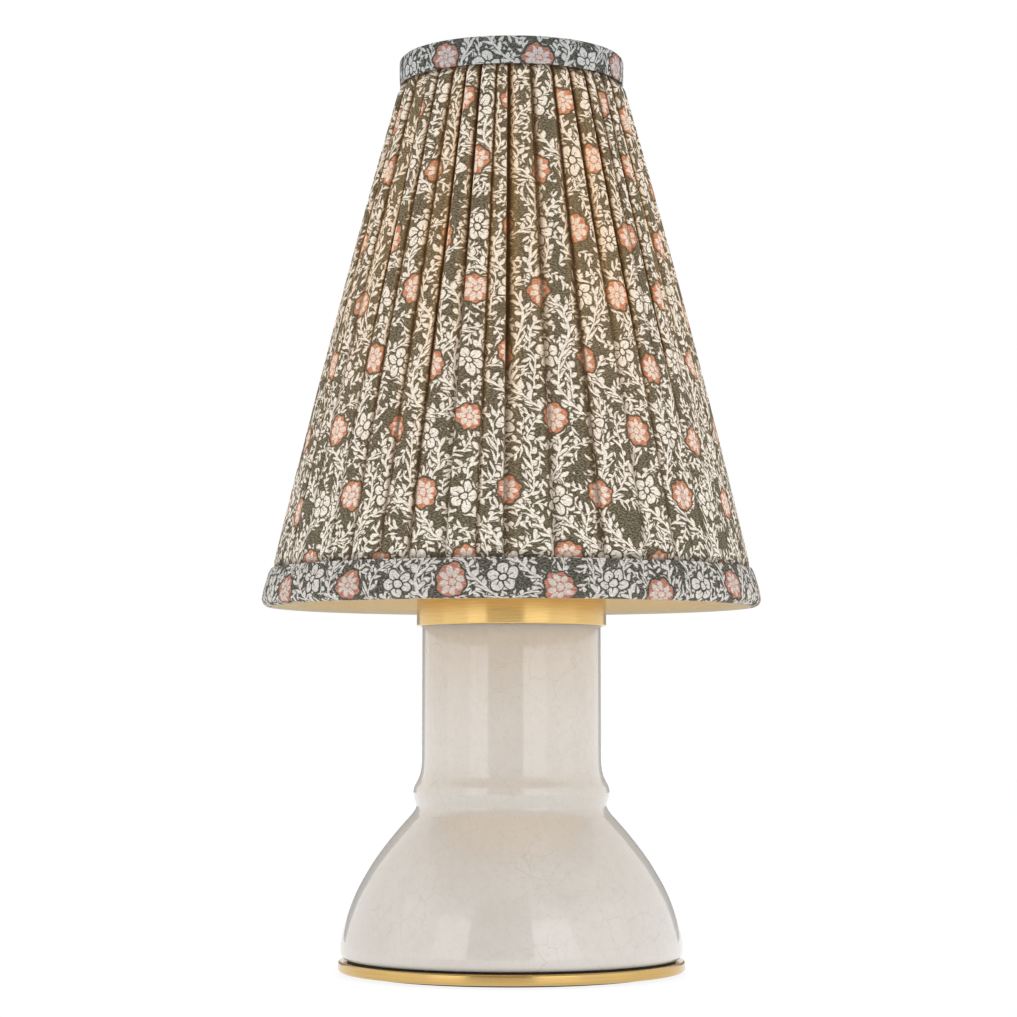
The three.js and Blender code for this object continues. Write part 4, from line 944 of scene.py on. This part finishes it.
shadeSeat = {"bore": 3.2, "stem": 5.0, "flange": 8.0, "flangeThick": 1.2, "edge": 0.3}
seatBottom, seatTop = spanOf("shade_seat")[:2]
seatProfile = [(shadeSeat["bore"], seatBottom)]
seatProfile += rounded([(4.0, seatBottom), (shadeSeat["stem"], seatBottom), (5.6, seatTop - 1.6),
                        (shadeSeat["flange"], seatTop - shadeSeat["flangeThick"]),
                        (shadeSeat["flange"], seatTop), (shadeSeat["bore"], seatTop)], shadeSeat["edge"], 3)
addPiece("shade_seat_fine", turnedMesh("shadeSeat", seatProfile, 96), "base", "brass", materials["brass"],
         "shade_seat")

print("stage 6: shade frame and lining")
shadeCone = {"topRadius": 37.2, "bottomRadius": 78.0, "bow": 0.9, "foldRoomTop": 2.4, "foldRoomBottom": 1.45}
shadeWires = {"topReach": 37.05, "topRadius": 1.0, "topWrap": 2.0,  # reach: out to the wrapped wire's edge
              "bottomReach": 81.37, "bottomRadius": 1.5, "bottomWrap": 2.5}
topWrap, bottomWrap = shadeWires["topWrap"], shadeWires["bottomWrap"]
topBandEdge, shadeTop = spanOf("top_binding")[:2]
shadeBottom, bottomBandEdge = spanOf("bottom_binding")[:2]
clothBottom, clothTop = spanOf("shade_lining")[:2]
coneSlope = (shadeCone["bottomRadius"] - shadeCone["topRadius"]) / (topBandEdge - bottomBandEdge)
topWire = (shadeWires["topReach"] - topWrap, shadeTop - topWrap)
bottomWire = (shadeWires["bottomReach"] - bottomWrap, shadeBottom + bottomWrap)


def shareUp(z):
    return (z - bottomBandEdge) / (topBandEdge - bottomBandEdge)


def crestRadius(z):
    up = min(max(shareUp(z), 0), 1)
    return shadeCone["bottomRadius"] - coneSlope * (z - bottomBandEdge) + 4 * shadeCone["bow"] * up * (1 - up)


# How far a fold may sink at height z, before it meets the lining
def foldRoom(z):
    return shadeCone["foldRoomBottom"] + shareUp(z) * (shadeCone["foldRoomTop"] - shadeCone["foldRoomBottom"])


def liningOuter(z):
    return crestRadius(z) - (1.1 + shareUp(z) * 0.9) - 0.9


def arc(centre, radius, fromAngle, toAngle, steps):
    turns = [math.radians(fromAngle + (toAngle - fromAngle) * step / steps) for step in range(steps + 1)]
    return [(centre[0] + radius * math.cos(turn), centre[1] + radius * math.sin(turn)) for turn in turns]


# The lining comes down inside the bottom wire and turns under it
shadeLining = {"thick": 0.8, "sides": 256}
hemTurn = arc(bottomWire, bottomWrap + 0.15, -172, -104, 9)
hemInside = [(bottomWire[0] + (r - bottomWire[0]) * 0.82, bottomWire[1] + (z - bottomWire[1]) * 0.82)
             for r, z in hemTurn]
liningProfile = [(liningOuter(z), z) for z in (clothTop, clothBottom + 2)]
liningProfile += [(hemTurn[0][0] + 0.5, clothBottom)] + hemInside + hemTurn[::-1]
liningProfile += [(liningOuter(z) - shadeLining["thick"], z) for z in (clothBottom + 3, clothTop)]
addPiece("shade_lining_fine", turnedMesh("shadeLining", liningProfile, shadeLining["sides"]), "shade",
         "lining_cloth", materials["lining_cloth"], "shade_lining")

bottomRingProfile = arc(bottomWire, shadeWires["bottomRadius"], 0, 360, 20)[:-1]
addPiece("bottom_ring_fine", turnedMesh("bottomRing", bottomRingProfile, 256, 60), "shade", "painted_wire",
         materials["painted_wire"], "bottom_ring")


# A round wire along the points, joined ring to ring and closed at its ends
def sweep(bm, points, radius, sides=14):
    rings = []
    for index, point in enumerate(points):
        before, after = points[max(index - 1, 0)], points[min(index + 1, len(points) - 1)]
        forward = (Vector(after) - Vector(before)).normalized()
        turn = forward.to_track_quat("Z", "Y").to_matrix()
        angles = [fullTurn * k / sides for k in range(sides)]
        spokes = [Vector((radius * math.cos(angle), radius * math.sin(angle), 0)) for angle in angles]
        rings.append([bm.verts.new((Vector(point) + turn @ spoke) * mm) for spoke in spokes])
    loops = []
    for ring in rings:
        loops.append([bm.edges.new((ring[k], ring[(k + 1) % sides])) for k in range(sides)])
    for first, second in zip(loops, loops[1:]):
        bmesh.ops.bridge_loops(bm, edges=first + second)
    for ring in (rings[0], rings[-1]):
        bm.faces.new(ring)


spider = {"arms": 3, "armRadius": 1.3, "hubRadius": 10.0, "hubBore": 3.4, "hubThick": 2.0, "edge": 0.35}
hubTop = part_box("finial_washer")[0].z / mm
hubBottom = hubTop - spider["hubThick"]
armHeight = hubBottom + 1.4
armRoute = smoothLine([(topWire[0] - 0.4, topWire[1]), (topWire[0] - 5, topWire[1] - 0.2),
                       (topWire[0] * 0.68, topWire[1] - 2.2), (topWire[0] * 0.42, armHeight + 2.0),
                       (12.5, armHeight + 0.1), (9.6, armHeight), (8.0, armHeight)], 7)
bm = bmesh.new()
for arm in range(spider["arms"]):
    turn = math.pi / 2 + fullTurn * arm / spider["arms"]
    points = [(r * math.cos(turn), r * math.sin(turn), z) for r, z in armRoute]
    sweep(bm, points, spider["armRadius"])
hubProfile = rounded([(6, hubBottom), (spider["hubRadius"], hubBottom), (spider["hubRadius"], hubTop),
                      (spider["hubBore"], hubTop), (spider["hubBore"], hubBottom), (6, hubBottom)],
                     spider["edge"], 3)
bm.from_mesh(turnedMesh("spiderHub", hubProfile[:-1], 96))
topRingProfile = arc(topWire, shadeWires["topRadius"], 0, 360, 20)[:-1]
bm.from_mesh(turnedMesh("spiderRing", topRingProfile, 192, 60))
bmesh.ops.recalc_face_normals(bm, faces=bm.faces)
for face in bm.faces:
    face.smooth = True
spiderMesh = bpy.data.meshes.new("spider")
bm.to_mesh(spiderMesh)
bm.free()
spiderMesh.set_sharp_from_angle(angle=math.radians(40))
addPiece("shade_spider_fine", spiderMesh, "shade", "painted_wire", materials["painted_wire"], "shade_spider")

finial = {"knobRadius": 4.7, "neck": 3.9, "flangeThick": 1.5, "bore": 3.2, "boreDeep": 6.4, "edge": 0.35}
finialBottom, finialTop, finialFlange = spanOf("finial")
knobCentre = finialTop - finial["knobRadius"]
flangeEdge = finialBottom + finial["flangeThick"]
knob = [(finial["bore"], finialBottom)]
knob += rounded([(4.0, finialBottom), (finialFlange, finialBottom), (finialFlange, flangeEdge),
                 (finial["neck"], flangeEdge + 0.4)], finial["edge"], 3)
knob += arc((0, knobCentre), finial["knobRadius"], -34, 90, 22)[:-1]
knob += [(0, finialTop), (0, finialBottom + finial["boreDeep"]),
         (finial["bore"], finialBottom + finial["boreDeep"])]
addPiece("finial_fine", turnedMesh("finial", knob, 96), "finial", "brass", materials["brass"], "finial")

print("stage 7: gathered cloth")
gathers = {
    "seed": 11,
    "folds": 47,
    "columnsPerFold": 22,
    "rows": 58,
    "clothWidth": 535.0,  # flat width of the sheet, all round
    "clothHeight": 180.0,
    "hold": [0.3, 0.4, 0.5, 0.65, 0.85, 1.0],  # how much of a crease is left at the hem
    "sink": [0.0, 0.05, 0.3, 0.75, 0.95],  # how far a fold lies back behind its neighbours
    "creaseShadeWidth": 0.17,  # width of the painted shade line in a crease, as a share of its fold
    "tuckTop": 1.15,  # how far the cloth goes in under each band
    "tuckBottom": 0.85,
}
foldCount, columnsPerFold, clothRows = gathers["folds"], gathers["columnsPerFold"], gathers["rows"]
dice = random.Random(gathers["seed"])
foldWidths = np.array([0.62 + 0.95 * dice.random() ** 1.3 for _ in range(foldCount)])
foldStarts = fullTurn * (np.cumsum(foldWidths) - foldWidths) / foldWidths.sum()
creaseDepth = np.array([0.55 + 0.45 * dice.random() for _ in range(foldCount)])
creaseHold = np.array([dice.choice(gathers["hold"]) for _ in range(foldCount)])
creaseFade = np.array([dice.uniform(0.25, 0.75) for _ in range(foldCount)])
creaseLean = [dice.uniform(0.25, 1.75) for _ in range(foldCount)]
foldSink = np.array([dice.choice(gathers["sink"]) * dice.uniform(0.6, 1.0) for _ in range(foldCount)])
wanderPhase = np.array([dice.uniform(0, fullTurn) for _ in range(foldCount)])
wanderSize = np.array([dice.uniform(0.1, 0.55) for _ in range(foldCount)])

# Columns crowd towards each crease, where the cloth turns sharply
local = np.arange(columnsPerFold) / columnsPerFold
local = 0.42 * local + 0.58 * (0.5 - 0.5 * np.cos(np.pi * local))
columnCount = foldCount * columnsPerFold
owner = np.repeat(np.arange(foldCount), columnsPerFold)
inFold = np.tile(local, foldCount)

# Rows crowd towards the two bands, and a little half-way up
rowHeights = []
for step in range(clothRows + 1):
    share = step / clothRows
    crowded = share - 0.055 * math.sin(2 * fullTurn * share) / 2
    rowHeights.append(clothBottom + (clothTop - clothBottom) * crowded)


def blendStep(value):
    value = np.clip(value, 0, 1)
    return value * value * (3 - 2 * value)


# How deep each crease is: full under the top band, some fading on the way down
def creaseStrength(held):
    return creaseDepth * (creaseHold + (1 - creaseHold) * blendStep((held - creaseFade * 0.6) / 0.42))


# How far the creases take the cloth back at each column, and how dark their painted shade lines are, both up
# to 1
def creasesAt(theta, starts, ends, strength, held):
    flatten = 0.6 + 0.4 * blendStep(held / 0.8)
    sink = np.zeros(columnCount)
    line = np.zeros(columnCount)
    for k in range(foldCount):
        left = (starts[k] - starts[k - 1]) % fullTurn
        right = ends[k] - starts[k]
        offset = (theta - starts[k] + math.pi) % fullTurn - math.pi
        reachLeft = left * min(0.95, 0.5 * creaseLean[k])
        reachRight = right * min(0.95, 0.5 * (2 - creaseLean[k]))
        x = np.clip(np.where(offset < 0, -offset / reachLeft, offset / reachRight), 0, 1)
        crisp = 0.25 + 0.75 * strength[k]
        bowl = crisp * (1 - x) ** 3.0 + (1 - crisp) * (0.5 + 0.5 * np.cos(np.pi * x))
        sink = np.maximum(sink, strength[k] * flatten * bowl)
        shut = np.clip(1.35 - x / (gathers["creaseShadeWidth"] + 0.07 * held), 0, 1)
        line = np.maximum(line, strength[k] ** 0.8 * shut)
    return sink, line


# How far whole folds lie back behind their neighbours, blended where two folds meet
def foldDips(held):
    dip = foldSink[owner]
    toBefore = (foldSink[owner - 1] - dip) * (1 - blendStep(inFold / 0.22))
    toNext = (foldSink[(owner + 1) % foldCount] - dip) * blendStep((inFold - 0.78) / 0.22)
    return (dip + 0.5 * (toBefore + toNext)) * (0.22 + 0.78 * blendStep((held - 0.05) / 0.75))


# Distance along the flat cloth at each column. The creases swallow what is left over.
def flatLengths(row, strength):
    lengths = np.linalg.norm(np.diff(np.vstack([row, row[:1]]), axis=0), axis=1)
    shares = strength / strength.sum() * (gathers["clothWidth"] - lengths.sum())
    creaseColumns = np.arange(foldCount) * columnsPerFold
    lengths[creaseColumns] += shares / 2
    lengths[creaseColumns - 1] += shares / 2
    return np.append(0, np.cumsum(lengths))


grid = np.zeros((clothRows + 1, columnCount, 3))
creaseShadeMask = np.zeros((clothRows + 1, columnCount))
valleyMask = np.zeros((clothRows + 1, columnCount))
clothU = np.zeros((clothRows + 1, columnCount + 1))
for rowIndex, z in enumerate(rowHeights):
    held = float(np.clip(shareUp(z), 0, 1))
    starts = foldStarts + np.radians(wanderSize) * np.sin(3.2 * held + wanderPhase) * 0.9
    ends = np.append(starts[1:], starts[0] + fullTurn)
    theta = (starts[:, None] + (ends - starts)[:, None] * local[None, :]).ravel()
    strength = creaseStrength(held)
    sink, line = creasesAt(theta, starts, ends, strength, held)
    dip = foldDips(held)
    wave = 0.12 * np.sin(theta * 13 + 1.3) * (1 - held) + 0.10 * np.sin(theta * 29 + 4 * held)
    room = foldRoom(min(max(z, bottomBandEdge), topBandEdge))
    radius = crestRadius(z) - room * np.clip(sink * 0.85 + dip * 0.55 + wave * 0.4, 0, 1)
    # Under each band the cloth goes in, no further than the lining
    tuckTop = float(blendStep((z - (topBandEdge - 0.9)) / 1.5))
    tuckBottom = 1 - float(blendStep((z - (bottomBandEdge - 1.0)) / 2.4))
    radius = radius - gathers["tuckTop"] * tuckTop - gathers["tuckBottom"] * tuckBottom
    if tuckTop > 0:
        radius = np.maximum(radius, liningOuter(z) + 0.2)
    grid[rowIndex] = np.stack([radius * np.cos(theta), radius * np.sin(theta), np.full(columnCount, z)], 1)
    creaseShadeMask[rowIndex] = np.clip(line * (0.85 + 0.4 * blendStep((held - 0.05) / 0.5)), 0, 1)
    valleyMask[rowIndex] = np.clip(np.clip(sink * 1.25 - 0.1, 0, 1) + dip * 0.3 - 0.05, 0, 1)
    clothU[rowIndex] = flatLengths(grid[rowIndex], strength)

slant = math.sqrt(1 + coneSlope ** 2)
bm = bmesh.new()
bmesh.ops.create_grid(bm, x_segments=columnCount, y_segments=clothRows, size=1)
clothUv = bm.loops.layers.uv.new("cloth")
glowLayer = bm.verts.layers.float.new("glow")
creaseShadeLayer = bm.verts.layers.float.new("crease")
places = {}
for vert in bm.verts:
    places[vert] = (round((vert.co.x + 1) / 2 * columnCount), round((vert.co.y + 1) / 2 * clothRows))
for face in bm.faces:
    face.smooth = True
    for loop in face.loops:
        column, row = places[loop.vert]
        loop[clothUv].uv = (clothU[row, column] * mm, (rowHeights[row] - shadeBottom) * slant * mm)
for vert, (column, row) in places.items():
    around = column % columnCount
    height = rowHeights[row]
    vert.co = Vector(grid[row, around]) * mm
    # Painted light from the lamp inside: the painted glow is strongest in the valleys and a little over
    # half-way up
    lampGlow = math.exp(-((shareUp(height) - 0.62) / 0.42) ** 2)
    glow = valleyMask[row, around] * (0.38 + 0.62 * lampGlow) + 0.03 + 0.10 * lampGlow
    vert[glowLayer] = min(1.0, glow)
    # Painted shade where the cloth goes in under each band, joined with the painted crease shade
    underBandShade = max(0.0, 1 - abs(height - topBandEdge) / 1.6, 1 - abs(height - bottomBandEdge) / 0.9)
    vert[creaseShadeLayer] = max(creaseShadeMask[row, around], 0.75 * underBandShade)
bmesh.ops.remove_doubles(bm, verts=bm.verts, dist=1e-6)
bmesh.ops.recalc_face_normals(bm, faces=bm.faces)
clothMesh = bpy.data.meshes.new("gatheredCloth")
bm.to_mesh(clothMesh)
bm.free()
gathered = addPiece("pleated_cloth_fine", clothMesh, "shade", "printed_cloth", materials["gathered_cloth"],
                    "pleated_cloth")

print("stage 8: bindings")


# The inner side of a strip, at an even thickness behind its outline
def innerSide(outline, thickness):
    inner = []
    for index, point in enumerate(outline):
        before, after = outline[max(index - 1, 0)], outline[min(index + 1, len(outline) - 1)]
        along = (Vector(after) - Vector(before)).normalized()
        inner.append((point[0] - along.y * thickness, point[1] + along.x * thickness))
    return inner


# The print lies flat on the band: round it along U and up its outline along V
def layPrint(bm, outline, inner, band):
    reach = [0.0]
    for first, second in zip(outline, outline[1:]):
        reach.append(reach[-1] + (Vector(second) - Vector(first)).length)
    lengthAt = dict(zip(outline + inner, reach + reach))
    shiftAlong, shiftUp = band["printShift"]
    clothUv = bm.loops.layers.uv.new("cloth")
    upward = {}
    for vert in bm.verts:
        radius, height = math.hypot(vert.co.x, vert.co.y) / mm, vert.co.z / mm
        near = min(lengthAt, key=lambda point: (point[0] - radius) ** 2 + (point[1] - height) ** 2)
        upward[vert] = lengthAt[near] + shiftUp
    for face in bm.faces:
        turns = [math.atan2(loop.vert.co.y, loop.vert.co.x) for loop in face.loops]
        for turn, loop in zip(turns, face.loops):
            if max(turns) - min(turns) > math.pi and turn < 0:
                turn += fullTurn
            loop[clothUv].uv = ((turn * band["printRadius"] + shiftAlong) * mm, upward[loop.vert] * mm)


# Slight waves round the band, as in hand-bound cloth
def wobble(bm, size):
    waves = [(dice.uniform(0.02, 0.05), dice.randrange(5, 31), dice.uniform(0, fullTurn)) for _ in range(7)]
    for vert in bm.verts:
        turn = math.atan2(vert.co.y, vert.co.x)
        swell = sum(height * math.sin(count * turn + phase) for height, count, phase in waves)
        vert.co += Vector((vert.co.x, vert.co.y, 0)).normalized() * swell * size * mm


# A cloth strip of even thickness along an outline, spun round
def bandMesh(name, outline, band):
    inner = innerSide(outline, band["thick"])
    mesh = turnedMesh(name, outline + inner[::-1], band["columns"], 50)
    bm = bmesh.new()
    bm.from_mesh(mesh)
    layPrint(bm, outline, inner, band)
    wobble(bm, band["waves"])
    bm.to_mesh(mesh)
    bm.free()
    return mesh


# printShift slides the print along and up the band
hemBand = {"thick": 0.6, "columns": 384, "printRadius": 79.5, "printShift": (3.0, 4.0), "waves": 0.6}
hemLine = smoothLine([(78.45, bottomBandEdge), (79.2, bottomBandEdge - 1.4), (80.0, bottomBandEdge - 4.0),
                      (80.85, bottomBandEdge - 6.6)], 5)[:-1]
hemLine += arc(bottomWire, bottomWrap, 17, -112, 16)
addPiece("bottom_binding_fine", bandMesh("hemBand", hemLine[::-1], hemBand), "shade", "printed_cloth",
         materials["printed_cloth"], "bottom_binding")

topBand = {"thick": 0.6, "columns": 256, "printRadius": 37.0, "printShift": (41.0, 9.0), "waves": 0.6}
topLine = smoothLine([(36.85, topBandEdge), (36.98, topBandEdge + 1.5),
                      (shadeWires["topReach"], shadeTop - topWrap - 1.5)], 4)[:-1]
topLine += arc(topWire, topWrap, 0, 105, 16)
addPiece("top_binding_fine", bandMesh("topBand", topLine, topBand), "shade", "printed_cloth",
         materials["top_band_cloth"], "top_binding")

print("stage 9: finish")
